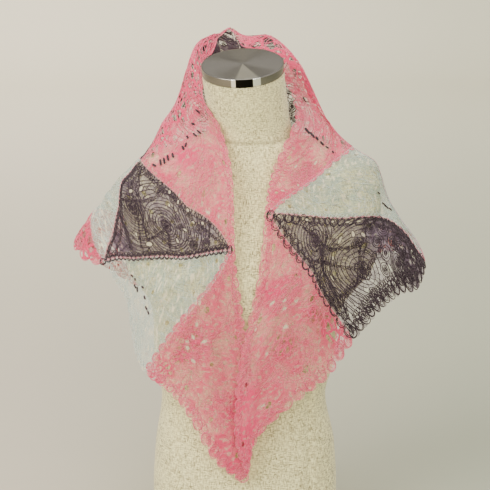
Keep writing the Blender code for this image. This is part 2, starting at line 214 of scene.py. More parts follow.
# %% Paint the wall and light it
NEAR_LEFT = (0.51, 0.47, 0.385, 1.0)
NEAR_RIGHT = (0.39, 0.40, 0.315, 1.0)
FAR_LEFT = (0.87, 0.80, 0.655, 1.0)
FAR_RIGHT = (0.67, 0.645, 0.515, 1.0)
NEAR_PAINT_ENDS = 0.3  # metres behind the form
FAR_PAINT_STARTS = 5.2
FAN_FOOT = -2.6  # the paints to the left and right fan out from this place in front of the form
FAN_HALF = 0.13  # metres to each side, for each metre from the foot of the fan
NEAREST_TO_FOOT = 1.8
WORLD_COLOUR = (1.0, 0.985, 0.95, 1.0)
WORLD_STRENGTH = 0.90

# name, place in metres, what it points at, width and height in metres, power in watts, colour
LIGHTS = (
    ("key_light", (-1.9, -1.9, 2.3), (0.0, 0.0, 0.42), 1.8, 1.8, 72.0, (1.0, 0.96, 0.90)),
    ("front_light", (0.6, -2.6, 1.7), (0.0, 0.0, 0.42), 1.6, 1.2, 29.0, (1.0, 0.97, 0.93)),
    ("top_light", (0.2, 0.3, 2.6), (0.0, 0.0, 0.42), 2.0, 1.6, 18.0, (1.0, 0.99, 0.97)),
    ("wall_light", (-0.4, 3.0, 3.2), (-0.4, 5.4, 0.0), 3.0, 1.0, 60.0, (1.0, 0.99, 0.97)),
)


def wall_finish():
    finish = Finish("wall_paint", Roughness=0.95, Specular_IOR_Level=0.1)
    where = finish.node("TexCoord").outputs["Object"]
    parts = finish.node("SeparateXYZ")
    finish.join(where, parts.inputs[0])
    far = finish.ramp(parts.outputs[1], NEAR_PAINT_ENDS, FAR_PAINT_STARTS)
    reach = finish.math("MAXIMUM", finish.math("SUBTRACT", parts.outputs[1], FAN_FOOT), NEAREST_TO_FOOT)
    fan = finish.math("DIVIDE", parts.outputs[0], reach)
    across = finish.ramp(fan, -FAN_HALF, FAN_HALF)
    near_paint = finish.mix(across, NEAR_LEFT, NEAR_RIGHT)
    far_paint = finish.mix(across, FAR_LEFT, FAR_RIGHT)
    finish.join(finish.mix(far, near_paint, far_paint), finish.shader.inputs["Base Color"])
    return finish.material


def add_light(name, place, target, width, height, power, colour):
    data = bpy.data.lights.new(name, "AREA")
    data.shape = "RECTANGLE"
    data.size = width
    data.size_y = height
    data.energy = power
    data.color = colour
    light = bpy.data.objects.new(name, data)
    light.location = place
    aim = Vector(target) - Vector(place)
    light.rotation_euler = aim.to_track_quat("-Z", "Y").to_euler()
    scene.collection.objects.link(light)


sweep.data.materials.append(wall_finish())
for row in LIGHTS:
    add_light(*row)
world = bpy.data.worlds.new("studio_air")
world.use_nodes = True
world.node_tree.nodes["Background"].inputs[0].default_value = WORLD_COLOUR
world.node_tree.nodes["Background"].inputs[1].default_value = WORLD_STRENGTH
scene.world = world
scene.view_settings.look = "AgX - Medium High Contrast"
print("lights:", [row[0] for row in LIGHTS])

# %% [markdown]
# ## The dress form's shape
#
# The form is a smooth torso. It could be sculpted, but a table of level sections says more: each row
# gives a height, where the section's middle is, how wide and deep it is, and how square. A curve
# through each column, with no overshoot between rows, gives the section at any height. The scarf
# needs the same sections later, to stay clear of the form.

# %% Name the form's sections
# height, middle in x, half width, front in y, back in y in millimetres, squareness (2 is an ellipse)
FORM_SECTIONS = (
    (0, 0, 133, -97, 103, 2.3),
    (60, 0, 134, -99, 104, 2.3),
    (130, 0, 130, -95, 97, 2.3),
    (208, -2, 118, -86, 82, 2.2),
    (262, -1, 129, -94, 83, 2.2),
    (314, 1, 131, -106, 88, 2.2),
    (344, 3, 136, -112, 92, 2.2),
    (368, 5, 151, -114, 95, 2.2),
    (393, 7, 172, -114, 97, 2.1),
    (430, 9, 179, -108, 99, 2.1),
    (480, 10, 181, -93, 98, 2.1),
    (515, 10, 179, -78, 91, 2.0),
    (540, 10, 162, -70, 84, 2.0),
    (556, 10, 134, -66, 77, 2.0),
    (573, 9.5, 96, -62, 66, 2.0),
    (590, 8, 59, -60, 54, 2.0),
    (612, 5, 56, -63, 49, 2.0),
    (642, 1, 56, -70, 42, 2.0),
    (673.5, -2.8, 56, -77.5, 34.5, 2.0),
)
SECTION_TABLE = np.array(FORM_SECTIONS, dtype=float)
SECTION_TABLE[:, :5] *= MM
NECK_BASE_HEIGHT = 0.590
NECK_FORWARD = math.radians(15.0)
NECK_ASIDE = math.radians(3.0)


def steady_curve(xs, ys, x):
    """Reads a smooth curve through a table's column, with no overshoot between its rows."""
    steps = np.diff(xs)
    slopes = np.diff(ys) / steps
    tangents = np.zeros(len(xs))
    tangents[0], tangents[-1] = slopes[0], slopes[-1]
    for i in range(1, len(xs) - 1):
        if slopes[i - 1] * slopes[i] > 0:
            before = 2 * steps[i] + steps[i - 1]
            after = steps[i] + 2 * steps[i - 1]
            tangents[i] = (before + after) / (before / slopes[i - 1] + after / slopes[i])
    at = np.clip(np.searchsorted(xs, x, side="right") - 1, 0, len(steps) - 1)
    t = (x - xs[at]) / steps[at]
    return (
        ys[at] * (1 + 2 * t) * (1 - t) ** 2
        + tangents[at] * steps[at] * t * (1 - t) ** 2
        + ys[at + 1] * t * t * (3 - 2 * t)
        + tangents[at + 1] * steps[at] * t * t * (t - 1)
    )


def form_section(height):
    """The form's section at a height: middle x and y, half width, half depth and squareness."""
    z = np.clip(height, SECTION_TABLE[0, 0], SECTION_TABLE[-1, 0])
    middle, half, front, back, square = (
        steady_curve(SECTION_TABLE[:, 0], SECTION_TABLE[:, column], z) for column in range(1, 6)
    )
    return middle, (front + back) / 2, half, (back - front) / 2, square


print("shoulder half width at 500 mm:", round(float(form_section(np.array([0.5]))[2][0]), 4))

# %% [markdown]
# ## The linen shell
#
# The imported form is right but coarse, and its faces are flat, so a finer loft stands in for it. Rings
# of points are bridged one to the next. Real forms are sewn from panels: two long seams run down the
# front and two down the back, and another goes round the foot of the neck. They show only as shallow
# valleys, so the rings dip there by about two millimetres.

# %% Loft the form
FORM_POINTS = 144
FORM_RING_STEP = 0.005
MEAN_RADIUS = 0.14  # turns the angle round the form into a length of cloth
PANEL_SEAM_REACH = 0.092  # how far to each side of the middle the panel seams run
SEAM_WIDTH = 0.0040
SEAM_DEPTH = 0.0022
NECK_SEAM_HEIGHT = 0.592
NECK_SEAM_SLOPE = 0.18


def valley(distance):
    """How deep a sewn seam pulls the linen in, at a distance from it."""
    return SEAM_DEPTH * np.exp(-((distance / SEAM_WIDTH) ** 2))


def form_ring(height, angles):
    """One ring of the form, with its panel seams and the seam at the neck."""
    x, y, half, deep, square = (float(column[0]) for column in form_section(np.array([height])))
    lean = max(0.0, (height - NECK_BASE_HEIGHT) / (SECTION_TABLE[-1, 0] - NECK_BASE_HEIGHT))
    cosine, sine = np.cos(angles), np.sin(angles)
    dx = half * np.sign(cosine) * np.abs(cosine) ** (2 / square)
    dy = deep * np.sign(sine) * np.abs(sine) ** (2 / square)
    below_neck = 1.0 if height < NECK_BASE_HEIGHT - 0.03 else 0.0
    dip = valley(np.abs(dx) - PANEL_SEAM_REACH) * below_neck
    dip = dip + valley(height - NECK_SEAM_HEIGHT - NECK_SEAM_SLOPE * (y + dy))
    share = 1 - dip / np.hypot(dx, dy)
    z = height + lean * (math.tan(NECK_FORWARD) * dy + math.tan(NECK_ASIDE) * dx)
    return np.column_stack([x + dx * share, y + dy * share, z])


def loft_form():
    bm = bmesh.new()
    uv = bm.loops.layers.uv.new("linen")
    angles = np.linspace(0, 2 * np.pi, FORM_POINTS, endpoint=False)
    heights = np.arange(0.0, SECTION_TABLE[-1, 0] + FORM_RING_STEP / 2, FORM_RING_STEP)
    heights[-1] = SECTION_TABLE[-1, 0]
    loops = []
    for height in heights:
        ring = [bm.verts.new(point) for point in form_ring(height, angles)]
        loops.append([bm.edges.new((ring[i], ring[i - 1])) for i in range(FORM_POINTS)])
    for low, high in zip(loops[:-1], loops[1:]):
        bmesh.ops.bridge_loops(bm, edges=low + high)
    bmesh.ops.holes_fill(bm, edges=loops[0] + loops[-1], sides=FORM_POINTS)
    bmesh.ops.recalc_face_normals(bm, faces=bm.faces[:])
    for face in bm.faces:
        middle = face.calc_center_median()
        turn = math.atan2(middle.y, middle.x)
        for loop in face.loops:
            place = loop.vert.co
            here = math.atan2(place.y, place.x)
            here += 2 * math.pi * round((turn - here) / (2 * math.pi))
            loop[uv].uv = (here * MEAN_RADIUS, place.z)
    mesh = bpy.data.meshes.new("form_linen")
    bm.to_mesh(mesh)
    bm.free()
    mesh.shade_smooth()
    mesh.set_sharp_from_angle(angle=math.radians(50))
    piece = bpy.data.objects.new("form_linen", mesh)
    scene.collection.objects.link(piece)
    return piece


form = loft_form()
print("form triangles:", sum(len(p.vertices) - 2 for p in form.data.polygons))

# %% [markdown]
# ### Oatmeal linen
#
# Linen is a plain weave of uneven yarn. From two metres away the single threads are too fine to see,
# but the slubs, thicker dark stretches of yarn, show as short flecks along both thread directions.
# Noise stretched far along one direction gives flecks, and two such noises crossed give the cloth.
# The seam at the foot of the neck is a shallow valley, too shallow to hold a shadow under soft light,
# so a painted shadow, in the colour of the flecks, darkens the cloth along it.

# %% Weave the linen
LINEN_LIGHT = (0.88, 0.825, 0.475, 1.0)
LINEN_DARK = (0.50, 0.44, 0.25, 1.0)
# the colour of the slubs, and of the painted shadow along the neck seam
LINEN_FLECK_AND_SEAM_SHADE = (0.22, 0.19, 0.11, 1.0)
FLECK_COVER = 0.9
NECK_SHADOW_COVER = 0.45
NECK_SHADOW_REACH = 0.0040


def linen_finish():
    finish = Finish("oatmeal_linen", Roughness=0.92, Specular_IOR_Level=0.15, Sheen_Weight=0.25)
    finish.shader.inputs["Sheen Roughness"].default_value = 0.6
    where = finish.node("UVMap", uv_map="linen").outputs[0]
    upright = finish.noise(where, 1.0, 3.0, stretch=(700, 130, 1))
    level = finish.noise(where, 1.0, 3.0, stretch=(120, 720, 1))
    cloud = finish.noise(where, 26.0, 3.0)
    weave = finish.math("ADD", upright, level)
    tone = finish.ramp(weave, 0.84, 1.12)
    ground = finish.mix(tone, LINEN_DARK, LINEN_LIGHT)
    sparse_upright = finish.ramp(finish.noise(where, 1.0, 2.0, stretch=(520, 120, 1)), 0.575, 0.65)
    sparse_level = finish.ramp(finish.noise(where, 1.0, 2.0, stretch=(110, 560, 1)), 0.575, 0.65)
    flecks = finish.math("MAXIMUM", sparse_upright, sparse_level)
    flecks = finish.math("MULTIPLY", flecks, finish.ramp(cloud, 0.3, 0.55))
    woven = finish.mix(finish.math("MULTIPLY", flecks, FLECK_COVER), ground, LINEN_FLECK_AND_SEAM_SHADE)
    # painted shadow: the cloth is darkened along the seam at the foot of the neck
    parts = finish.node("SeparateXYZ")
    finish.join(finish.node("TexCoord").outputs["Object"], parts.inputs[0])
    seam = finish.math("MULTIPLY_ADD", parts.outputs[1], NECK_SEAM_SLOPE, NECK_SEAM_HEIGHT)
    away = finish.math("ABSOLUTE", finish.math("SUBTRACT", parts.outputs[2], seam))
    near_seam = finish.ramp(away, NECK_SHADOW_REACH, 0.15 * NECK_SHADOW_REACH)
    shadow = finish.math("MULTIPLY", near_seam, NECK_SHADOW_COVER)
    finish.join(finish.mix(shadow, woven, LINEN_FLECK_AND_SEAM_SHADE), finish.shader.inputs["Base Color"])
    finish.bump(weave, 0.35, 0.0006)
    return finish.material


form.data.materials.append(linen_finish())
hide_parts("form_body")
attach(form, "root")
print("form dressed in", form.data.materials[0].name)

# %% [markdown]
# ## The steel cap
#
# A low round of steel closes the neck. It was turned on a lathe, so its top is scored with fine
# circles. Light from a lamp stretches across such a grain and fans out from the middle in wedges. A
# cylinder with bevelled rims gives the shape, and a UV map with the angle along it tells the shader
# which way the grain runs. Two things depend on the photographer's room and not on the steel: the
# bright wedge towards the camera and the bright, dark and bright stretches that the smooth rim
# mirrors. They are painted by their angle, the rim with a material of its own.

# %% Turn the cap
CAP_RADIUS = 0.0565
CAP_HEIGHT = 0.0120
CAP_BEVEL = 0.0012
CAP_GAP = 0.0003
CAP_RINGS = 12
NECK_TOP = Vector((-0.0028, -0.0215, 0.6735))
CAP_LEAN = Euler((NECK_FORWARD, -NECK_ASIDE, 0.0)).to_matrix()
CAP_UP = CAP_LEAN @ Vector((0, 0, 1))


def turn_cap():
    bm = bmesh.new()
    uv = bm.loops.layers.uv.new("grain")
    bmesh.ops.create_cone(
        bm, cap_ends=True, segments=128, radius1=CAP_RADIUS, radius2=CAP_RADIUS, depth=CAP_HEIGHT
    )
    rims = [e for e in bm.edges if abs(e.verts[0].co.z - e.verts[1].co.z) < CAP_HEIGHT / 2]
    bmesh.ops.bevel(
        bm, geom=rims, offset=CAP_BEVEL, offset_type="OFFSET", segments=4, profile=0.5,
        affect="EDGES", material=-1,
    )
    top = [f for f in bm.faces if len(f.verts) > 8 and f.normal.z > 0.9]
    inset = (CAP_RADIUS - CAP_BEVEL) / (CAP_RINGS + 1)
    for _ in range(CAP_RINGS):
        bmesh.ops.inset_region(bm, faces=top, thickness=inset, use_even_offset=True)
    bmesh.ops.poke(bm, faces=top)
    for face in bm.faces:
        middle = face.calc_center_median()
        turn = math.atan2(middle.y, middle.x)
        for loop in face.loops:
            place = loop.vert.co
            here = math.atan2(place.y, place.x) if place.xy.length > 1e-5 else turn
            here += 2 * math.pi * round((turn - here) / (2 * math.pi))
            loop[uv].uv = (here / (2 * math.pi), place.xy.length * 10)
    bmesh.ops.rotate(bm, verts=bm.verts[:], cent=(0, 0, 0), matrix=CAP_LEAN)
    bmesh.ops.translate(bm, verts=bm.verts[:], vec=NECK_TOP + CAP_UP * (CAP_HEIGHT / 2 + CAP_GAP))
    mesh = bpy.data.meshes.new("steel_cap")
    bm.to_mesh(mesh)
    bm.free()
    mesh.shade_smooth()
    mesh.set_sharp_from_angle(angle=math.radians(30))
    piece = bpy.data.objects.new("steel_cap", mesh)
    scene.collection.objects.link(piece)
    return piece


cap = turn_cap()
print("cap faces:", len(cap.data.polygons))

# %% Brush the cap and paint what its rim mirrors
STEEL = (0.092, 0.086, 0.078, 1.0)
STEEL_PALE = (0.165, 0.155, 0.138, 1.0)
STEEL_LIT = (0.27, 0.257, 0.22, 1.0)
RIM_STEEL = (0.31, 0.29, 0.255, 1.0)
RIM_WHITE = (1.0, 0.98, 0.92, 1.0)
RIM_BLACK = (0.02, 0.018, 0.015, 1.0)
# from, to and fading over, in degrees round the cap, 0 at its front
LIT_WEDGE = (-8.0, 20.0, 5.0)
WHITE_STRETCH = (-16.0, 24.0, 1.0)
DARK_STRETCH = (-10.0, 13.0, 0.8)


def wedge(finish, turn, low, high, soft):
    """1 between two angles round the cap, in degrees from the front, fading over soft degrees."""
    rise = finish.ramp(turn, low - soft, low)
    fall = finish.ramp(turn, high + soft, high)
    return finish.math("MULTIPLY", rise, fall)


def cap_angle(finish):
    """The angle round the cap in degrees, 0 at its front, from the UV map."""
    parts = finish.node("SeparateXYZ")
    finish.join(finish.node("UVMap", uv_map="grain").outputs[0], parts.inputs[0])
    return finish.math("MULTIPLY_ADD", parts.outputs[0], 360.0, 90.0)


def steel_finish():
    finish = Finish("turned_steel", Metallic=1.0, Roughness=0.36, Anisotropic=0.85)
    grain = finish.node("Tangent", direction_type="UV_MAP", uv_map="grain")
    finish.join(grain.outputs[0], finish.shader.inputs["Tangent"])
    where = finish.node("UVMap", uv_map="grain").outputs[0]
    circles = finish.noise(where, 1.0, 2.0, stretch=(3, 900, 1))
    steel = finish.mix(circles, STEEL, STEEL_PALE)
    light = wedge(finish, cap_angle(finish), *LIT_WEDGE)
    finish.join(finish.mix(light, steel, STEEL_LIT), finish.shader.inputs["Base Color"])
    finish.bump(circles, 0.12, 0.0002)
    return finish.material


def rim_finish():
    """The polished rim, with the white, black and white stretches that it mirrors."""
    finish = Finish("polished_steel", Metallic=1.0, Roughness=0.22)
    turn = cap_angle(finish)
    lit = finish.mix(wedge(finish, turn, *WHITE_STRETCH), RIM_STEEL, RIM_WHITE)
    dark = wedge(finish, turn, *DARK_STRETCH)
    finish.join(finish.mix(dark, lit, RIM_BLACK), finish.shader.inputs["Base Color"])
    return finish.material


cap.data.materials.append(steel_finish())
cap.data.materials.append(rim_finish())
for face in cap.data.polygons:
    face.material_index = 1 if abs(face.normal.dot(CAP_UP)) < 0.7 else 0
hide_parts("neck_cap")
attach(cap, "root")
print("cap finished in", cap.data.materials[0].name)

# %% [markdown]
# ## How the scarf is draped
#
# Laid flat, the patchwork is a strip of half-square triangles. Every corner has a place on that
# flat cut and a place when worn. A thin metal plate pushed through the worn places bends smoothly
# between them, and so does cloth, so the same formula drapes the scarf: a thin-plate spline from
# the flat cut to the worn shape. Soft folds are then raised on it, and it is pushed clear of the
# form. Cloth simulation could drape it too, but it would not land where the photo shows each seam.
#
# Most worn places in front and at the sides were read in the photo as pixels, each with a depth
# chosen by eye, and a small script outside this one turned them into millimetres with the camera's
# values. Some were then moved. Those at the back, which no photo shows, are chosen.

# %% The corners, seams and folds of the patchwork
LEG = 0.230
HYPOTENUSE = LEG * math.sqrt(2)
SEAM_GAP = 0.0006
CLEAR_OF_FORM = 0.0035
PUSH_ROUNDS = 6
LONGEST_PUSH = 0.02  # in one round

# where each corner lies on the flat cut, in hypotenuses, and when worn, in millimetres
CORNERS = {
    "tip_left": (0, 0, -1, -112, 117),
    "front_left": (1, 0, -17, -120, 448),
    "elbow_left": (0.5, 0.5, -136, -88, 267),
    "wing_left": (1, 1, -199, -22, 406),
    "shoulder_left": (1.5, 0.5, -145, -5, 547),
    "nape": (2, 0, -19, 95, 722),
    "back_middle": (2, 1, 0, 122, 398),
    "tail_left": (1.5, 1.5, -85, 122, 290),
    "tail_right": (2.5, 1.5, 88, 122, 292),
    "shoulder_right": (2.5, 0.5, 149, -5, 567),
    "wing_right": (3, 1, 254, 0, 403),
    "elbow_right": (3.5, 0.5, 147, -92, 318),
    "front_right": (3, 0, 31, -110, 496),
    "tip_right": (4, 0, 3, -122, 130),
}

# two corners, then the points between them: the share of the way, then x, y and z in millimetres
SEAMS = (
    ("tip_left", "front_left", (0.25, 10, -112, 204), (0.5, 4, -116, 285), (0.75, -8, -120, 367)),
    ("tip_left", "elbow_left", (0.25, -39, -114, 149), (0.5, -73, -114, 212), (0.75, -101, -104, 246)),
    ("elbow_left", "wing_left", (0.25, -154, -68, 303), (0.5, -163, -48, 358), (0.75, -181, -34, 386)),
    ("elbow_left", "front_left", (0.5, -74, -120, 362)),
    ("front_left", "wing_left", (0.25, -60, -116, 441), (0.5, -107, -98, 434), (0.75, -154, -62, 422)),
    ("front_left", "shoulder_left", (0.5, -78, -88, 501), (0.75, -111, -55, 526)),
    ("shoulder_left", "wing_left", (0.25, -171, -14, 520), (0.5, -176, -14, 485), (0.76, -185, -18, 447)),
    ("front_left", "nape", (0.2, -18, -107, 508), (0.4, -22, -87, 561), (0.55, -34, -56, 599)),
    ("front_left", "nape", (0.68, -53, -22, 638), (0.8, -60, 25, 667), (0.9, -49, 58, 690)),
    ("shoulder_left", "nape", (0.24, -115, 15, 598), (0.5, -86, 40, 651), (0.74, -65, 68, 704)),
    ("shoulder_left", "nape", (0.88, -43, 83, 714)),
    ("wing_left", "back_middle", (0.2, -217, 18, 467), (0.5, -150, 98, 432), (0.75, -72, 116, 410)),
    ("wing_left", "tail_left", (0.12, -228, 0, 409), (0.24, -244, 24, 425), (0.5, -188, 78, 366)),
    ("wing_left", "tail_left", (0.75, -135, 112, 325)),
    ("shoulder_left", "back_middle", (0.5, -110, 100, 480)),
    ("tail_left", "back_middle", (0.5, -44, 124, 345)),
    ("nape", "back_middle", (0.06, -15, 101, 702), (0.25, -8, 108, 642), (0.5, 0, 110, 560)),
    ("nape", "back_middle", (0.75, 0, 116, 478)),
    ("tail_right", "back_middle", (0.5, 45, 124, 346)),
    ("shoulder_right", "back_middle", (0.5, 112, 100, 484)),
    ("wing_right", "tail_right", (0.25, 243, 54, 408), (0.5, 188, 95, 391), (0.75, 132, 115, 350)),
    ("wing_right", "back_middle", (0.25, 230, 62, 432), (0.5, 160, 98, 436), (0.75, 80, 116, 414)),
    ("shoulder_right", "nape", (0.24, 106, 6, 610), (0.42, 83, 24, 638), (0.6, 72, 46, 674)),
    ("shoulder_right", "nape", (0.75, 54, 66, 699), (0.88, 28, 83, 713)),
    ("front_right", "nape", (0.62, 72, 12, 630), (0.73, 62, 33, 650), (0.86, 24, 56, 686)),
    ("front_right", "nape", (0.95, -3, 76, 703)),
    ("front_right", "nape", (0.2, 36, -95, 534), (0.4, 53, -70, 574), (0.52, 74, -20, 609)),
    ("shoulder_right", "wing_right", (0.25, 183, 2, 543), (0.5, 199, 16, 495), (0.76, 224, 22, 453)),
    ("front_right", "shoulder_right", (0.5, 85, -82, 532), (0.75, 118, -45, 552)),
    ("front_right", "wing_right", (0.25, 87, -98, 490), (0.5, 136, -72, 481), (0.7, 195, -25, 470)),
    ("front_right", "wing_right", (0.85, 228, -10, 442)),
    ("elbow_right", "front_right", (0.5, 90, -118, 417)),
    ("elbow_right", "wing_right", (0.25, 178, -75, 350), (0.5, 204, -55, 369), (0.75, 237, -30, 375)),
    ("tip_right", "elbow_right", (0.25, 12, -122, 181), (0.5, 62, -120, 234), (0.75, 111, -108, 271)),
    ("tip_right", "front_right", (0.25, -11, -123, 209), (0.5, -3, -124, 298), (0.75, 19, -121, 393)),
)

# places inside a patch that shape its main fold: along, across, then x, y and z in millimetres
INNER_PLACES = {
    "left collar crease by the neck": (1.57, 0.1, -58, -16, 609),
    "left collar front": (1.35, 0.17, -55, -72, 560),
    "left collar crease by the shoulder": (1.54, 0.27, -90, -10, 580),
    "left mint front": (0.8, 0.5, -127, -98, 372),
    "left black front": (1.25, 0.5, -126, -80, 491),
    "left mint back": (1.3, 0.82, -196, 12, 493),
    "right collar crease by the neck": (2.48, 0.12, 101, -12, 592),
    "right collar crease by the shoulder": (2.5, 0.3, 126, -10, 573),
    "right pink front": (3.5, 0.25, 72, -122, 337),
    "right black front": (3.2, 0.5, 118, -98, 426),
    "right black wing": (3.12, 0.8, 212, -45, 412),
    "left back fall": (1.75, 0.5, -72, 104, 566),
    "right back fall": (2.25, 0.5, 76, 102, 566),
}

# name, start and end on the flat cut, half width and height in millimetres; below 0 is a trough
FOLDS = (
    ("left front trough", 0.15, 0.06, 0.92, 0.16, 11, -3.0),
    ("left front ridge", 0.3, 0.2, 0.86, 0.12, 10, 3.0),
    ("left elbow ridge", 0.48, 0.4, 0.8, 0.2, 10, 3.5),
    ("left mint drape", 0.78, 0.62, 0.94, 0.22, 12, 4.0),
    ("left black drape", 1.3, 0.42, 1.1, 0.62, 12, 3.5),
    ("right front ridge", 3.86, 0.08, 3.2, 0.12, 10, 3.0),
    ("right front trough", 3.62, 0.26, 3.22, 0.2, 10, -2.5),
    ("right black ridge", 3.06, 0.3, 3.14, 0.86, 14, 5.0),
    ("right black trough", 3.24, 0.34, 3.3, 0.62, 11, -4.0),
    ("right shoulder ridge", 2.64, 0.52, 2.92, 0.66, 12, 4.0),
    ("left back ridge", 1.86, 0.3, 1.62, 1.1, 13, 5.0),
    ("middle back trough", 2.0, 0.35, 2.02, 0.92, 14, -4.0),
    ("right back ridge", 2.16, 0.3, 2.4, 1.15, 13, 5.0),
    ("left tail ridge", 1.7, 1.05, 1.56, 1.38, 11, 4.0),
    ("right tail ridge", 2.32, 1.05, 2.46, 1.38, 11, 4.0),
)
print("corners:", len(CORNERS), "folds:", len(FOLDS))

# %% Bend one smooth sheet through the worn places


def outside_form(points):
    """How far outside the form's surface each point is, as a share of its section, minus one."""
    middle_x, middle_y, half, deep, square = form_section(points[:, 2])
    across = np.abs(points[:, 0] - middle_x) / half
    along = np.abs(points[:, 1] - middle_y) / deep
    return (across**square + along**square) ** (1 / square) - 1


def slope_of(field, points, step=0.0005):
    """The direction and rate in which a field grows fastest at each point."""
    columns = []
    for axis in range(3):
        shift = np.zeros(3)
        shift[axis] = step
        columns.append((field(points + shift) - field(points - shift)) / (2 * step))
    return np.stack(columns, axis=1)


def push_clear(points, clearance):
    """Moves points that are nearer to the form than the clearance straight off its surface."""
    points = points.copy()
    for _ in range(PUSH_ROUNDS):
        share = outside_form(points)
        slope = slope_of(outside_form, points)
        steep = np.maximum(np.linalg.norm(slope, axis=1), 1e-6)
        short = np.clip(clearance - share / steep, 0.0, LONGEST_PUSH)
        points += slope / steep[:, None] * short[:, None]
    return points


def bend(distance):
    """The kernel of a thin plate that is bent through given points."""
    return np.where(distance > 0, distance**2 * np.log(np.maximum(distance, 1e-12)), 0.0)


def known_places():
    """The corners, seam points and inner places: flat in hypotenuses, worn in metres."""
    flat = [row[:2] for row in CORNERS.values()] + [row[:2] for row in INNER_PLACES.values()]
    worn = [row[2:] for row in CORNERS.values()] + [row[2:] for row in INNER_PLACES.values()]
    for start, end, *passes in SEAMS:
        a, b = np.array(CORNERS[start][:2]), np.array(CORNERS[end][:2])
        for share, *place in passes:
            flat.append(tuple(a + (b - a) * share))
            worn.append(place)
    return np.array(flat, dtype=float), np.array(worn) * MM


KNOWN_FLAT, KNOWN_WORN = known_places()


def plate_weights():
    """Solves for the plate that passes through every known place."""
    count = len(KNOWN_FLAT)
    plane = np.column_stack([np.ones(count), KNOWN_FLAT])
    system = np.zeros((count + 3, count + 3))
    system[:count, :count] = bend(np.linalg.norm(KNOWN_FLAT[:, None] - KNOWN_FLAT[None], axis=2))
    system[:count, count:] = plane
    system[count:, :count] = plane.T
    right = np.zeros((count + 3, 3))
    right[:count] = KNOWN_WORN
    return np.linalg.solve(system, right)


PLATE = plate_weights()


def smooth_sheet(flat):
    """The worn sheet before its folds, at places on the flat cut."""
    gaps = np.linalg.norm(flat[:, None] - KNOWN_FLAT[None], axis=2)
    plane = np.column_stack([np.ones(len(flat)), flat])
    return bend(gaps) @ PLATE[: len(KNOWN_FLAT)] + plane @ PLATE[len(KNOWN_FLAT):]


print("the plate passes through", len(KNOWN_FLAT), "places")

# %% [markdown]
# ### A table of the worn sheet
#
# Every yarn and every edge needs its worn place, which is tens of thousands of points. Working the
# spline out each time would be slow, so it is worked out once on a grid over the whole flat cut,
# 5 mm apart, with the direction in which the cloth faces. Any place is then read between four
# neighbours of the grid.

# %% Work out the worn sheet on a grid
TABLE_STEP = 1 / 64
MARGIN = 0.08
ALONG = np.arange(-MARGIN, 4 + MARGIN + TABLE_STEP, TABLE_STEP)
ACROSS = np.arange(-MARGIN, 1.5 + MARGIN + TABLE_STEP, TABLE_STEP)


def facing(grid):
    """The direction in which a grid of places faces outward."""
    away = np.cross(np.gradient(grid, axis=0), np.gradient(grid, axis=1))
    return away / np.maximum(np.linalg.norm(away, axis=2), 1e-9)[:, :, None]


def fold_lift(flat):
    """The height of the soft folds at places on the flat cut."""
    lift = np.zeros(len(flat))
    for _, a1, c1, a2, c2, width, height in FOLDS:
        start, run = np.array([a1, c1]), np.array([a2 - a1, c2 - c1])
        share = ((flat - start) @ run) / (run @ run)
        nearest = start + np.clip(share, 0, 1)[:, None] * run
        off = np.linalg.norm(flat - nearest, axis=1) * HYPOTENUSE
        fade = np.sin(np.pi * np.clip(share, 0.0, 1.0)) ** 0.7
        lift += height * MM * fade * np.exp(-((off / (width * MM)) ** 2))
    return lift


def worn_table():
    """The places and facings of the worn sheet over the grid."""
    along, across = np.meshgrid(ALONG, ACROSS, indexing="ij")
    flat = np.column_stack([along.ravel(), across.ravel()])
    shape = (len(ALONG), len(ACROSS), 3)
    smooth = smooth_sheet(flat).reshape(shape)
    raised = smooth + facing(smooth) * fold_lift(flat).reshape(shape[:2])[:, :, None]
    places = push_clear(raised.reshape(-1, 3), CLEAR_OF_FORM).reshape(shape)
    return places, facing(places)


WORN, AWAY = worn_table()


def lay(flat, lift):
    """Lays flat places, in metres, on the worn sheet at a height above its middle."""
    at = (np.asarray(flat) / HYPOTENUSE + MARGIN) / TABLE_STEP
    low = np.clip(np.floor(at).astype(int), 0, np.array(WORN.shape[:2]) - 2)
    share = at - low
    place = np.zeros((len(at), 3))
    for i in (0, 1):
        for j in (0, 1):
            weight = np.abs(1 - i - share[:, 0]) * np.abs(1 - j - share[:, 1])
            row, column = low[:, 0] + i, low[:, 1] + j
            place += weight[:, None] * (WORN[row, column] + AWAY[row, column] * np.reshape(lift, (-1, 1)))
    return place


def flat_corner(name):
    """A corner's place on the flat cut, in metres."""
    along, across = CORNERS[name][:2]
    return Vector((along * HYPOTENUSE, across * HYPOTENUSE, 0.0))


fronts = lay([flat_corner(name).xy for name in ("front_left", "front_right")], 0.0)
print("front corners lie at", fronts.round(3).tolist())
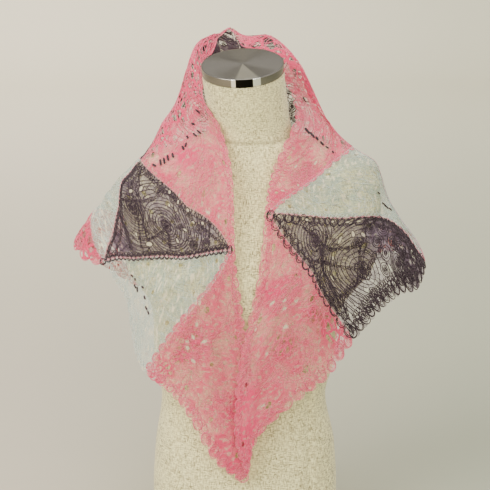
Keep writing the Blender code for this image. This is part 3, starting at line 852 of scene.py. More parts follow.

# %% [markdown]
# ## The fourteen patches
#
# Each patch is named for its colour and place. A row also says which of its sides are free edges,
# with scallops, and on which seams its scallops lie over the neighbour. `cut` is the short side of
# the flat triangle for the worn net, set to come near to the net's area. The real ones were all cut
# alike, but the drape on a smooth sheet stretches some and draws others in.

# %% Name the patches
PINK, MINT, BLACK = "pink", "mint", "black"
PATCHES = (
    # node, colour, corners, free sides, sides whose scallops lie over the neighbour, cut in metres
    ("pink_front_left", PINK, ("tip_left", "elbow_left", "front_left"), (0, 2), (1,), 0.225),
    ("mint_front_left", MINT, ("elbow_left", "wing_left", "front_left"), (0,), (), 0.200),
    ("black_front_left", BLACK, ("wing_left", "shoulder_left", "front_left"), (), (), 0.195),
    ("pink_collar_left", PINK, ("shoulder_left", "nape", "front_left"), (1,), (), 0.225),
    ("black_back_left", BLACK, ("back_middle", "nape", "shoulder_left"), (), (), 0.260),
    ("mint_back_left", MINT, ("wing_left", "back_middle", "shoulder_left"), (), (), 0.210),
    ("pink_back_left", PINK, ("tail_left", "back_middle", "wing_left"), (0, 2), (), 0.225),
    ("pink_back_right", PINK, ("wing_right", "back_middle", "tail_right"), (1, 2), (), 0.200),
    ("mint_back_right", MINT, ("shoulder_right", "back_middle", "wing_right"), (), (), 0.215),
    ("black_back_right", BLACK, ("shoulder_right", "nape", "back_middle"), (), (), 0.265),
    ("pink_collar_right", PINK, ("front_right", "nape", "shoulder_right"), (0,), (2,), 0.190),
    ("mint_front_right", MINT, ("front_right", "shoulder_right", "wing_right"), (), (), 0.190),
    ("black_front_right", BLACK, ("front_right", "wing_right", "elbow_right"), (1,), (), 0.225),
    ("pink_front_right", PINK, ("front_right", "elbow_right", "tip_right"), (1, 2), (), 0.230),
)
print("patches:", len(PATCHES))

# %% [markdown]
# ### Where the lace is open
#
# Lace is not even. Above the crease of the collar the pink is a loose net, and near some edges it
# thins out. A patch carries a value at each point, 0 where the net is close and 1 where it is wide
# open, and the material reads it. Each row of OPEN_WORK is one soft round. Here and there a single
# hole is wide enough to see the linen through: each is a small ellipse in WINDOWS. All places are
# hypotenuses along and across the flat cut. In front, most of the windows and most places in the
# tables of yarn below were read in the photo as pixels, and a small script outside this one carried
# them back through the drape to the cut. The others, and all at the back, are chosen.

# %% Place the open work
OPEN_WORK = (
    # patch, along, across, reach in millimetres, openness
    ("pink_collar_left", 1.60, 0.38, 24, 0.9),
    ("pink_collar_left", 1.68, 0.27, 28, 1.0),
    ("pink_collar_left", 1.76, 0.16, 30, 1.0),
    ("pink_collar_left", 1.86, 0.08, 30, 1.0),
    ("pink_collar_left", 1.68, 0.06, 20, 0.7),
    ("pink_collar_right", 2.34, 0.24, 26, 0.75),
    ("pink_collar_right", 2.24, 0.16, 28, 1.0),
    ("pink_collar_right", 2.12, 0.08, 30, 1.0),
    ("pink_collar_right", 2.42, 0.40, 22, 0.5),
    ("pink_front_right", 3.48, 0.40, 24, 0.55),
    ("pink_front_right", 3.44, 0.30, 14, 0.45),
    ("pink_front_right", 3.56, 0.20, 18, 0.4),
    ("pink_front_left", 0.56, 0.30, 18, 0.45),
    ("pink_front_left", 0.62, 0.24, 16, 0.5),
    ("pink_front_left", 0.48, 0.40, 20, 0.6),
    ("pink_back_left", 1.10, 1.06, 26, 0.7),
    ("pink_back_left", 1.26, 1.20, 22, 0.5),
    ("pink_back_right", 2.72, 1.20, 24, 0.5),
    # below 0 the lace is closer than elsewhere
    ("pink_front_left", 0.10, 0.05, 34, -1.0),
    ("pink_front_left", 0.24, 0.06, 26, -0.7),
    ("pink_front_left", 0.44, 0.46, 16, -0.8),
    ("pink_front_right", 3.90, 0.05, 30, -1.0),
    ("pink_front_right", 3.80, 0.10, 30, -0.9),
    ("pink_front_right", 3.68, 0.20, 18, -0.4),
    ("pink_front_right", 3.30, 0.06, 22, -0.5),
    ("pink_collar_left", 1.20, 0.06, 26, -0.4),
    ("pink_collar_left", 1.42, 0.26, 26, -0.5),
    ("pink_collar_right", 2.90, 0.05, 24, -0.5),
    ("black_front_right", 3.06, 0.70, 26, -0.8),
    ("black_front_right", 3.05, 0.84, 30, -1.0),
    ("black_front_right", 3.04, 0.74, 26, -1.0),
    ("black_back_left", 1.95, 0.16, 26, -0.9),
    ("black_back_right", 2.02, 0.13, 20, -0.6),
    ("pink_front_left", 0.33, 0.06, 20, -0.8),
    ("pink_front_right", 3.70, 0.04, 22, -0.9),
    ("pink_front_right", 3.82, 0.03, 24, -1.0),
    ("black_front_left", 1.34, 0.62, 20, -0.6),
    ("black_front_left", 1.16, 0.40, 60, -0.3),
    ("black_front_left", 1.10, 0.20, 24, -0.6),
    ("black_front_left", 1.06, 0.84, 26, -0.8),
)


WINDOWS = (
    # patch, along, across, half length and half width in millimetres, turn in degrees
    ("black_front_left", 1.097, 0.391, 5.5, 3.2, 10),
    ("black_front_left", 1.119, 0.694, 3.4, 2.8, 0),
    ("black_front_left", 1.172, 0.241, 3.4, 2.6, 60),
    ("black_front_left", 1.153, 0.303, 5.0, 2.4, 50),
    ("black_front_left", 1.328, 0.584, 6.0, 2.2, 120),
    ("black_front_left", 1.353, 0.509, 6.5, 2.4, 130),
    ("black_front_left", 1.069, 0.613, 8.0, 4.2, 90),
    ("black_front_left", 1.284, 0.366, 3.4, 2.4, 40),
    ("black_front_right", 3.106, 0.506, 6.5, 2.8, 10),
    ("black_front_right", 3.175, 0.500, 6.0, 2.6, 10),
    ("black_front_right", 3.231, 0.463, 4.4, 3.2, 0),
    ("black_front_right", 3.206, 0.338, 4.2, 2.4, 20),
    ("black_front_right", 3.275, 0.475, 5.0, 2.8, 10),
    ("black_front_right", 3.081, 0.562, 5.2, 2.4, 30),
    ("black_front_right", 3.084, 0.609, 4.4, 2.2, 50),
    ("black_front_left", 1.331, 0.350, 3.2, 2.2, 40),
    ("black_front_left", 1.281, 0.304, 2.8, 2.2, 40),
    ("black_front_left", 1.234, 0.250, 3.4, 2.2, 40),
    ("black_front_left", 1.147, 0.190, 3.2, 2.4, 40),
    ("black_front_right", 3.022, 0.228, 4.0, 2.4, 90),
    ("black_front_right", 3.020, 0.428, 3.4, 2.2, 90),
    ("black_front_right", 3.022, 0.519, 3.6, 2.2, 90),
    ("black_front_right", 3.022, 0.569, 3.0, 2.0, 90),
    ("pink_front_right", 3.325, 0.081, 2.6, 4.2, 0),
    ("pink_front_right", 3.338, 0.138, 3.4, 2.4, 60),
    ("pink_front_right", 3.366, 0.203, 4.4, 2.4, 60),
    ("pink_front_right", 3.378, 0.153, 4.6, 2.4, 60),
    ("pink_front_right", 3.469, 0.188, 5.4, 2.8, 60),
    ("pink_front_right", 3.406, 0.033, 2.8, 2.4, 0),
    ("pink_front_right", 3.744, 0.144, 4.0, 2.2, 90),
    ("pink_front_right", 3.541, 0.122, 3.0, 2.4, 30),
    ("pink_front_left", 0.691, 0.216, 4.2, 2.6, 0),
    ("pink_front_left", 0.637, 0.237, 4.4, 2.6, 20),
    ("pink_front_left", 0.613, 0.188, 5.4, 3.0, 110),
    ("pink_front_left", 0.587, 0.269, 4.8, 3.0, 20),
    ("pink_front_left", 0.519, 0.250, 5.2, 2.6, 40),
    ("pink_front_left", 0.619, 0.269, 3.8, 2.4, 80),
    ("pink_front_left", 0.784, 0.206, 3.4, 2.4, 0),
    ("pink_collar_left", 1.300, 0.300, 4.2, 2.2, 120),
    ("pink_collar_left", 1.180, 0.150, 4.6, 2.4, 60),
    ("pink_collar_left", 1.150, 0.090, 3.0, 2.4, 0),
    ("pink_collar_right", 2.780, 0.180, 4.2, 3.0, 20),
    ("pink_collar_right", 2.850, 0.080, 5.2, 2.4, 80),
    ("pink_collar_right", 2.620, 0.200, 4.4, 3.2, 50),
    ("pink_collar_right", 2.660, 0.100, 4.0, 2.6, 0),
)


def in_window(patch, flat, swell=1.0):
    """How deep inside a patch's windows flat places lie: above 0 inside, 1 in a middle."""
    deepest = np.full(len(flat), -9.0)
    for name, along, across, half_length, half_width, degrees in WINDOWS:
        if name == patch:
            turn = math.radians(degrees)
            off = flat - np.array([along, across]) * HYPOTENUSE
            long_way = (off[:, 0] * math.cos(turn) + off[:, 1] * math.sin(turn)) / (half_length * MM)
            short_way = (off[:, 1] * math.cos(turn) - off[:, 0] * math.sin(turn)) / (half_width * MM)
            deepest = np.maximum(deepest, 1 - np.hypot(long_way, short_way) / swell)
    return deepest


def openness(patch, flat):
    """How open the net is at flat places, in metres: 1 is wide open, below 0 is extra close."""
    most, least = np.zeros(len(flat)), np.zeros(len(flat))
    for name, along, across, reach, strength in OPEN_WORK:
        if name == patch:
            off = np.linalg.norm(flat - np.array([along, across]) * HYPOTENUSE, axis=1)
            value = strength * np.exp(-((off / (reach * MM)) ** 2))
            most, least = np.maximum(most, value), np.minimum(least, value)
    return most + least


print("rounds of open work:", len(OPEN_WORK), "windows:", len(WINDOWS))

# %% [markdown]
# ### Cutting a shell
#
# A patch is cut as its maker would: flat, first. One triangle is divided into a fine net of faces,
# its rim is moved in by half the seam gap, the larger lace gaps are opened by cutting off grid
# points, and its free sides are rounded into scallops. The flat piece gets its thickness, and then
# every point is laid on the worn sheet. The flat place of each point is kept as its UV, so that the
# lace pattern follows the cloth.

# %% Tools to cut and drape a shell
CELLS = 36
GAP_CELLS = 3  # the larger gaps lie on every third grid point, as in the solids
SHELL_WALL = 0.0004
LACE_GAPS = (0.0040, 0.0032, 0.0046)
SCALLOP_PITCH = 0.0185
SCALLOP_DEPTH = 0.0062
OVER_LIFT = 0.0008
GAP_REACH = 0.0075  # rim points nearer than this to a gap's middle belong to the gap


def inset_triangle(corners, inset):
    """A flat triangle made smaller by the same distance along each side."""
    a, b, c = corners
    sides = ((b - c).length, (c - a).length, (a - b).length)
    centre = (a * sides[0] + b * sides[1] + c * sides[2]) / sum(sides)
    radius = (b - a).cross(c - a).length / sum(sides)
    return [centre + (corner - centre) * (1 - inset / radius) for corner in corners]


def lies_on(place, start, end, within=1e-5):
    """Whether a flat place lies on the line between two others."""
    run = end - start
    return (place - start).cross(run).length / run.length < within


def inward_of(start, end, opposite):
    """The direction across a side of a triangle, towards its opposite corner."""
    run = (end - start).normalized()
    inward = opposite - start
    return (inward - run * inward.dot(run)).normalized()


def set_back(bm, corners, inset):
    """Moves a patch's rim in from its seam lines, so that neighbours nearly touch."""
    smaller = inset_triangle(corners, inset)
    rim = [vert for vert in bm.verts if vert.is_boundary]
    tips = [min(rim, key=lambda vert: (vert.co - corner).length) for corner in corners]
    for n in range(3):
        start, end = corners[n], corners[(n + 1) % 3]
        inward = inward_of(start, end, corners[(n + 2) % 3])
        for vert in rim:
            if vert not in tips and lies_on(vert.co, start, end):
                vert.co += inward * inset
    for tip, corner in zip(tips, smaller):
        tip.co = corner
    return smaller


def gap_places(bm, corners, dense):
    """The grid points of a patch that become lace gaps."""
    origin = corners[0]
    one, two = (corners[1] - origin) / CELLS, (corners[2] - origin) / CELLS
    turn = one.cross(two).z
    chosen = []
    for vert in bm.verts:
        place = vert.co - origin
        i = round(place.cross(two).z / turn)
        j = round(one.cross(place).z / turn)
        if i % GAP_CELLS or j % GAP_CELLS:
            continue
        i, j = i // GAP_CELLS, j // GAP_CELLS
        inside = i > 0 and j > 0 and i + j < CELLS // GAP_CELLS
        wanted = (i - j) % 3 == 0 if dense else i % 3 == 1 and j % 3 == 1
        if inside and wanted:
            chosen.append(vert)
    return chosen


def cut_gaps(bm, chosen):
    """Opens each chosen grid point into a gap, and gives back the gaps' middles."""
    middles = [vert.co.copy() for vert in chosen]
    for size, offset in enumerate(LACE_GAPS):
        group = [vert for vert in chosen[size :: len(LACE_GAPS)] if vert.is_valid]
        made = bmesh.ops.bevel(
            bm, geom=group, offset=offset, offset_type="OFFSET", segments=1, profile=0.5,
            affect="VERTICES", material=-1,
        )
        gaps = [face for face in made["faces"] if face.is_valid and len(face.verts) == 6]
        bmesh.ops.delete(bm, geom=gaps, context="FACES")
    return middles


def refine(bm, middles):
    """Divides every face in four, and makes the gaps round."""
    bmesh.ops.triangulate(bm, faces=bm.faces[:])
    rims = {}
    for vert in bm.verts:
        if vert.is_boundary:
            for number, middle in enumerate(middles):
                if (vert.co - middle).length < GAP_REACH:
                    rims.setdefault(number, []).append(vert)
    reach = {n: sum((v.co - middles[n]).length for v in rim) / len(rim) for n, rim in rims.items()}
    bmesh.ops.subdivide_edges(bm, edges=bm.edges[:], cuts=1, use_grid_fill=True)
    for vert in bm.verts:
        if vert.is_boundary:
            for number, radius in reach.items():
                off = vert.co - middles[number]
                if off.length < GAP_REACH:
                    vert.co = middles[number] + off.normalized() * radius


def scallop(bm, start, end, opposite, lift):
    """Rounds one side of a flat patch outward in even scallops, raised where they lie over."""
    line = [e for e in bm.edges if e.is_boundary and all(lies_on(v.co, start, end) for v in e.verts)]
    bmesh.ops.subdivide_edges(bm, edges=line, cuts=1)
    length = (end - start).length
    run = (end - start) / length
    outward = -inward_of(start, end, opposite)
    count = round(length / SCALLOP_PITCH)
    for vert in bm.verts:
        if vert.is_boundary and lies_on(vert.co, start, end):
            wave = abs(math.sin(math.pi * count * (vert.co - start).dot(run) / length)) ** 0.7
            vert.co += outward * wave * SCALLOP_DEPTH
            vert.co.z += lift * wave


def cut_patch(colour, corner_names, free, over):
    """One flat patch with its gaps and scallops, as a bmesh."""
    corners = [flat_corner(corner) for corner in corner_names]
    bm = bmesh.new()
    bm.faces.new([bm.verts.new(corner) for corner in corners])
    bmesh.ops.subdivide_edges(bm, edges=bm.edges[:], cuts=CELLS - 1, use_grid_fill=True)
    gaps = gap_places(bm, corners, dense=colour == BLACK)
    corners = set_back(bm, corners, SEAM_GAP / 2)
    refine(bm, cut_gaps(bm, gaps))
    for side in free + over:
        start, end, opposite = (corners[(side + n) % 3] for n in range(3))
        scallop(bm, start, end, opposite, OVER_LIFT if side in over else 0.0)
    bmesh.ops.triangulate(bm, faces=bm.faces[:])
    return bm


def thicken(bm):
    """Gives a flat patch its two faces and its rim."""
    bmesh.ops.translate(bm, verts=bm.verts[:], vec=(0.0, 0.0, -SHELL_WALL / 2))
    whole = bm.verts[:] + bm.edges[:] + bm.faces[:]
    raised = bmesh.ops.extrude_face_region(bm, geom=whole, use_keep_orig=True)["geom"]
    upper = [part for part in raised if isinstance(part, bmesh.types.BMVert)]
    bmesh.ops.translate(bm, verts=upper, vec=(0.0, 0.0, SHELL_WALL))
    bmesh.ops.triangulate(bm, faces=bm.faces[:])
    bmesh.ops.recalc_face_normals(bm, faces=bm.faces[:])


def make_shell(name, colour, corner_names, free, over):
    """Cuts one patch, gives it its thickness and drapes it."""
    bm = cut_patch(colour, corner_names, free, over)
    thicken(bm)
    plate = np.array([vert.co[:] for vert in bm.verts])
    uv = bm.loops.layers.uv.new("cut")
    for face in bm.faces:
        for loop in face.loops:
            loop[uv].uv = loop.vert.co.xy
    open_layer = bm.verts.layers.float.new("open")
    window_layer = bm.verts.layers.float.new("window")
    window = np.clip(in_window(name, plate[:, :2], 1.25) * 4, 0, 1)
    for vert, value, clear in zip(bm.verts, openness(name, plate[:, :2]), window):
        vert[open_layer] = value
        vert[window_layer] = clear
    for vert, place in zip(bm.verts, lay(plate[:, :2], plate[:, 2])):
        vert.co = place
    mesh = bpy.data.meshes.new(name + "_net")
    bm.to_mesh(mesh)
    bm.free()
    mesh.shade_smooth()
    mesh.set_sharp_from_angle(angle=math.radians(60))
    piece = bpy.data.objects.new(name + "_net", mesh)
    scene.collection.objects.link(piece)
    return piece


shells = {}
for name, colour, corner_names, free, over, cut in PATCHES:
    shells[name] = make_shell(name, colour, corner_names, free, over)
print("net triangles:", sum(len(piece.data.polygons) for piece in shells.values()))

# %% [markdown]
# ## The nets
#
# Between its thick yarns the lace is a film of very fine thread. Modelled, it would be millions of
# faces, so the shader draws it: the alpha, which says how much of the cloth is there, follows noise
# for the cloudy brushed yarn and a cell pattern for the strands of the open work. Where the net is
# thin it is also paler. A fine noise makes small specks, and these and the windows are painted cream:
# painted light, the colour of lit linen seen through the gaps, since the linen under the net lies in
# its shadow. A net has two faces, so light passes twice: two faces of cover a hide 1 - (1 - a)
# squared of what is behind, and the covers below are that much lower than they look.

# %% Make the nets' finishes
NETS = {
    # colours of close and of thin net, the share that one face of each covers, what the closest
    # stretches cover more, clouds per metre, sheen, how strongly the specks are painted with the cream
    # of lit linen (painted light), what they cover more, and how many specks a metre holds along and
    # across the cut
    PINK: ((0.72, 0.105, 0.185, 1.0), (0.88, 0.36, 0.37, 1.0), (0.78, 0.28, 0.16),
           38.0, 0.25, 0.42, 0.0, (190, 130, 1)),
    MINT: ((0.42, 0.535, 0.48, 1.0), (0.66, 0.72, 0.60, 1.0), (0.42, 0.14, 0.16),
           34.0, 0.25, 0.95, 0.28, (70, 160, 1)),
    BLACK: ((0.150, 0.108, 0.136, 1.0), (0.44, 0.375, 0.405, 1.0), (0.50, 0.24, 0.45),
            60.0, 0.05, 0.3, 0.0, (190, 130, 1)),
}
# painted light: the cream of lit linen, laid on the net's specks and windows, where the linen under the net
# lies in shadow
PAINTED_LIT_LINEN = (0.82, 0.75, 0.57, 1.0)
STRAND_COVER = 0.85
# how much the painted cream of lit linen covers in each window
WINDOW_COVER = 0.36


def net_finish(colour):
    close, thin, covers, cloud_size, sheen, pale_share, pale_cover, grain = NETS[colour]
    cover, thin_cover, extra_cover = covers
    finish = Finish(colour + "_net", Roughness=0.9, Specular_IOR_Level=0.12, Sheen_Weight=sheen)
    finish.shader.inputs["Sheen Roughness"].default_value = 0.5
    where = finish.node("UVMap", uv_map="cut").outputs[0]
    cloud = finish.ramp(finish.noise(where, cloud_size, 3.0), 0.42, 0.58)
    tuft = finish.ramp(finish.noise(where, 150.0, 2.0, stretch=(1, 0.6, 1)), 0.38, 0.62)
    fibre = finish.ramp(finish.noise(where, 480.0, 3.0, stretch=(1, 0.45, 1)), 0.35, 0.65)
    tone = finish.math("MULTIPLY_ADD", fibre, 0.2, finish.math("MULTIPLY", cloud, 0.5))
    tone = finish.math("MULTIPLY_ADD", tuft, 0.3, tone)
    opening = finish.node("Attribute", attribute_name="open").outputs["Fac"]
    dense = finish.ramp(opening, -0.05, -0.85)
    tone = finish.math("MULTIPLY_ADD", dense, 0.55, tone, clamp=True)
    specks = finish.ramp(finish.noise(where, 1.0, 1.0, stretch=grain), 0.55, 0.65)
    wide = finish.ramp(finish.math("MULTIPLY_ADD", cloud, -0.2, opening), 0.05, 0.30)
    depth = finish.math("MULTIPLY_ADD", wide, 0.7, tone, clamp=True)
    window = finish.ramp(finish.node("Attribute", attribute_name="window").outputs["Fac"], 0.0, 0.9)
    # the specks and the windows take the painted cream of lit linen: painted light
    shown = finish.math("MULTIPLY", specks, finish.math("MULTIPLY_ADD", wide, -pale_share, pale_share))
    pale = finish.math("MAXIMUM", shown, window)
    tint = finish.mix(pale, finish.mix(depth, thin, close), PAINTED_LIT_LINEN)
    finish.join(tint, finish.shader.inputs["Base Color"])
    film = finish.math("MULTIPLY_ADD", tone, cover - thin_cover, thin_cover)
    film = finish.math("MULTIPLY_ADD", dense, extra_cover, film)
    mesh_work = finish.ramp(finish.cells(where, 260.0), 0.02, 0.14)
    film = finish.math("MULTIPLY_ADD", mesh_work, -0.2 * cover, film)
    film = finish.math("MULTIPLY", film, finish.math("MULTIPLY_ADD", specks, -0.7 * (1 - pale_share), 1.0))
    film = finish.math("MULTIPLY_ADD", specks, pale_cover, film)
    strands = finish.ramp(finish.cells(where, 90.0), 0.16, 0.07)
    loose = finish.math("MULTIPLY", strands, STRAND_COVER)
    alpha = finish.math("MULTIPLY_ADD", wide, finish.math("SUBTRACT", loose, film), film)
    shut = finish.math("MULTIPLY", alpha, finish.math("SUBTRACT", 1.0, window))
    alpha = finish.math("MULTIPLY_ADD", window, WINDOW_COVER, shut, clamp=True)
    finish.join(alpha, finish.shader.inputs["Alpha"])
    finish.bump(tone, 0.5, 0.0008)
    return finish.material


nets = {colour: net_finish(colour) for colour in NETS}
for name, colour, *_ in PATCHES:
    shells[name].data.materials.append(nets[colour])
print("nets:", sorted(nets))

# %% [markdown]
# ## The yarn
#
# The lace is drawn with yarn: rings round flower heads, loops along the edges and fine rays. Each
# yarn is a line on the flat cut. The lines of a patch are laid on the worn sheet as the points of
# one curve object, and the curve's bevel turns them all into tubes at once. Four sides are enough
# for a tube half a millimetre thick.

# %% Tools to draw yarn on the flat cut
POINT_STEP = 0.0024
FIRST_RING = 0.0014  # radius of a flower's innermost ring


def smooth_path(places, step=POINT_STEP):
    """A smooth line through a few flat places, given in hypotenuses."""
    knots = np.array(places) * HYPOTENUSE
    knots = np.vstack([2 * knots[0] - knots[1], knots, 2 * knots[-1] - knots[-2]])
    track = []
    for a, b, c, d in zip(knots[:-3], knots[1:-2], knots[2:-1], knots[3:]):
        count = max(2, round(float(np.linalg.norm(c - b)) / step))
        t = np.linspace(0, 1, count, endpoint=False)[:, None]
        cubic = (2 * a - 5 * b + 4 * c - d) * t**2 + (3 * b - a - 3 * c + d) * t**3
        track.append(b + ((c - a) * t + cubic) / 2)
    return np.vstack(track + [knots[-2]])


class Yarn:
    """The yarn of one patch: lines on the flat cut, each with its thickness and lift."""

    def __init__(self, name, corner_names, seed):
        self.name = name
        self.corners = [np.array(flat_corner(name).xy) for name in corner_names]
        self.lines = []
        self.random = np.random.default_rng(seed)

    def side(self, number):
        """The start, end and inward direction of a side."""
        start, end, opposite = (self.corners[(number + n) % 3] for n in range(3))
        run = (end - start) / np.linalg.norm(end - start)
        inward = opposite - start
        inward = inward - run * (inward @ run)
        return start, end, run, inward / np.linalg.norm(inward)

    def inside(self, points, margin):
        """Which points lie inside the patch, or past its rim by no more than the margin."""
        keep = in_window(self.name, points) < 0
        for number in range(3):
            start, _, _, inward = self.side(number)
            keep &= (points - start) @ inward > -margin
        return keep

    def line(self, points, thickness=1.0, margin=0.0, keep=None, closed=False):
        """Adds the stretches of a line that are inside the patch."""
        shown = self.inside(points, margin)
        if keep is not None:
            shown &= keep(points)
        lift = self.random.uniform(0.0002, 0.0006)
        if shown.all():
            self.lines.append((points, thickness, lift, closed))
            return
        if closed:
            first = int(np.argmin(shown))
            points, shown = np.roll(points, -first, axis=0), np.roll(shown, -first)
        edges = np.flatnonzero(np.diff(np.concatenate([[0], shown.astype(int), [0]])))
        for low, high in zip(edges[::2], edges[1::2]):
            if high - low > 2:
                self.lines.append((points[low:high], thickness, lift, False))

    def ring(self, middle, radius, thickness=1.0, wobble=0.0, margin=0.0, keep=None):
        """A round of yarn, a little uneven where it has a wobble."""
        count = max(7, int(2 * math.pi * radius / POINT_STEP))
        turn = np.linspace(0, 2 * np.pi, count, endpoint=False)
        start = self.random.uniform(0, 2 * np.pi, 3)
        uneven = sum(np.sin(turn * k + start[k - 2]) / k for k in (2, 3, 4))
        reach = radius * (1 + wobble * uneven)
        points = middle + np.column_stack([np.cos(turn), np.sin(turn)]) * reach[:, None]
        self.line(points, thickness, margin, keep, closed=True)

    def flower(self, middle, reach, spacing, thickness=1.0):
        """Rings one inside the other round a flower's middle, closest at its heart."""
        radius = FIRST_RING
        while radius < reach:
            heart = radius < 0.2 * reach
            self.ring(middle, radius, thickness * (1.3 if heart else 1.0), 0.03)
            radius += spacing * (0.55 if heart else self.random.uniform(0.8, 1.2))

    def loops(self, number, pitch, radius, inset, thickness=1.0, margin=0.005):
        """A row of loops along a side."""
        start, end, run, inward = self.side(number)
        for reach in np.arange(pitch / 2, np.linalg.norm(end - start), pitch):
            middle = start + run * reach + inward * inset
            self.ring(middle, radius * self.random.uniform(0.9, 1.12), thickness, 0.05, margin)

    def rays(self, middle, near, far, count, thickness=1.0, keep=None):
        """Short straight yarns that point away from a middle."""
        for turn in np.linspace(0, 2 * np.pi, count, endpoint=False):
            turn += self.random.uniform(-0.3, 0.3) * 2 * np.pi / count
            heading = np.array([math.cos(turn), math.sin(turn)])
            steps = np.linspace(near, far * self.random.uniform(0.85, 1.1), 5)
            self.line(middle + heading * steps[:, None], thickness, keep=keep)

    def chain(self, places, size, thickness=1.0):
        """A band of small loops that follows a line."""
        for middle in smooth_path(places, 1.7 * size):
            middle = middle + self.random.normal(0, 0.25 * size, 2)
            self.ring(middle, size * self.random.uniform(0.8, 1.25), thickness, 0.15)

    def bundle(self, places, count, spread, thickness=1.0):
        """Yarns that run side by side along a line and cross here and there."""
        track = smooth_path(places)
        run = np.gradient(track, axis=0)
        aside = np.column_stack([-run[:, 1], run[:, 0]])
        aside /= np.maximum(np.linalg.norm(aside, axis=1), 1e-9)[:, None]
        share = np.linspace(0, 1, len(track))
        for _ in range(count):
            waves = self.random.uniform(1, 4, 2) * np.pi
            start = self.random.uniform(0, 2 * np.pi, 2)
            sway = np.sin(share * waves[0] + start[0]) + 0.5 * np.sin(share * 3 * waves[1] + start[1])
            self.line(track + aside * sway[:, None] * spread / 1.5, thickness)

    def frame_windows(self, thickness=1.0):
        """A yarn round each window, just outside it."""
        for name, along, across, half_length, half_width, degrees in WINDOWS:
            if name == self.name:
                turn = math.radians(degrees)
                round_turn = np.linspace(0, 2 * np.pi, 12, endpoint=False)
                x = np.cos(round_turn) * (half_length * MM + 0.0006)
                y = np.sin(round_turn) * (half_width * MM + 0.0006)
                points = np.column_stack([
                    x * math.cos(turn) - y * math.sin(turn), x * math.sin(turn) + y * math.cos(turn)
                ])
                self.line(points + place_of(along, across), thickness, closed=True)

    def drift(self, count, reach, thickness=0.6, heading=None, sway=0.5):
        """Loose wandering yarns, along a heading where one is given."""
        low, high = np.min(self.corners, axis=0), np.max(self.corners, axis=0)
        for _ in range(count):
            place = self.random.uniform(low, high)
            turn = self.random.uniform(0, 2 * np.pi) if heading is None else heading
            turn = turn + self.random.normal(0, 0.15)
            steps = max(4, int(reach / POINT_STEP))
            bends = turn + np.cumsum(self.random.normal(0, sway, steps)) * 0.35
            track = np.column_stack([np.cos(bends), np.sin(bends)]) * POINT_STEP
            self.line(place + np.cumsum(track, axis=0), thickness, margin=-0.001)

    def points(self):
        """How many points all the lines have."""
        return sum(len(line[0]) for line in self.lines)


def place_of(along, across):
    """A flat place in metres, from its hypotenuses along and across."""
    return np.array([along, across]) * HYPOTENUSE


print("yarn has a point every", POINT_STEP / MM, "mm")

# %% [markdown]
# ### Black lace
#
# The black patches are the clearest: large flower heads with wide rings of thin yarn round them,
# smaller flowers between, and a band of loops along every side. Where two large flowers meet, each
# ring stops half way, as ripples drawn by hand do.

# %% Draw the black lace
BIG_FLOWERS = (
    # patch, along, across, reach in millimetres
    ("black_front_left", 1.184, 0.434, 64),
    ("black_front_left", 1.247, 0.647, 56),
    ("black_front_right", 3.216, 0.628, 66),
    ("black_front_right", 3.085, 0.815, 52),
    ("black_front_right", 3.116, 0.291, 46),
    ("black_back_left", 1.80, 0.42, 72),
    ("black_back_left", 1.86, 0.72, 60),
    ("black_back_left", 1.93, 0.20, 44),
    ("black_back_right", 2.20, 0.42, 72),
    ("black_back_right", 2.14, 0.72, 60),
    ("black_back_right", 2.07, 0.20, 44),
)
SMALL_FLOWERS = (
    # patch, along, across, reach in millimetres
    ("black_front_left", 1.344, 0.412, 9),
    ("black_front_left", 1.306, 0.331, 9),
    ("black_front_left", 1.425, 0.437, 8),
    ("black_front_left", 1.172, 0.328, 7),
    ("black_front_left", 1.128, 0.222, 8),
    ("black_front_left", 1.059, 0.284, 11),
    ("black_front_left", 1.050, 0.194, 9),
    ("black_front_right", 3.128, 0.797, 14),
    ("black_front_right", 3.109, 0.850, 10),
    ("black_front_right", 3.116, 0.591, 9),
    ("black_front_right", 3.369, 0.425, 11),
    ("black_front_right", 3.128, 0.728, 9),
    ("black_front_right", 3.300, 0.660, 10),
    ("black_front_right", 3.045, 0.700, 11),
    ("black_front_right", 3.040, 0.780, 12),
    ("black_front_right", 3.040, 0.880, 12),
    ("black_front_right", 3.180, 0.730, 9),
    ("black_front_right", 3.056, 0.640, 9),
    ("black_front_right", 3.103, 0.678, 9),
    ("black_front_right", 3.078, 0.765, 9),
    ("black_back_left", 1.960, 0.135, 11),
    ("black_back_left", 1.940, 0.190, 9),
    ("black_back_left", 1.910, 0.215, 9),
    ("black_back_right", 2.030, 0.120, 10),
    ("black_back_right", 2.020, 0.165, 8),
    ("black_back_right", 2.235, 0.385, 10),
    ("black_back_right", 2.255, 0.430, 9),
)
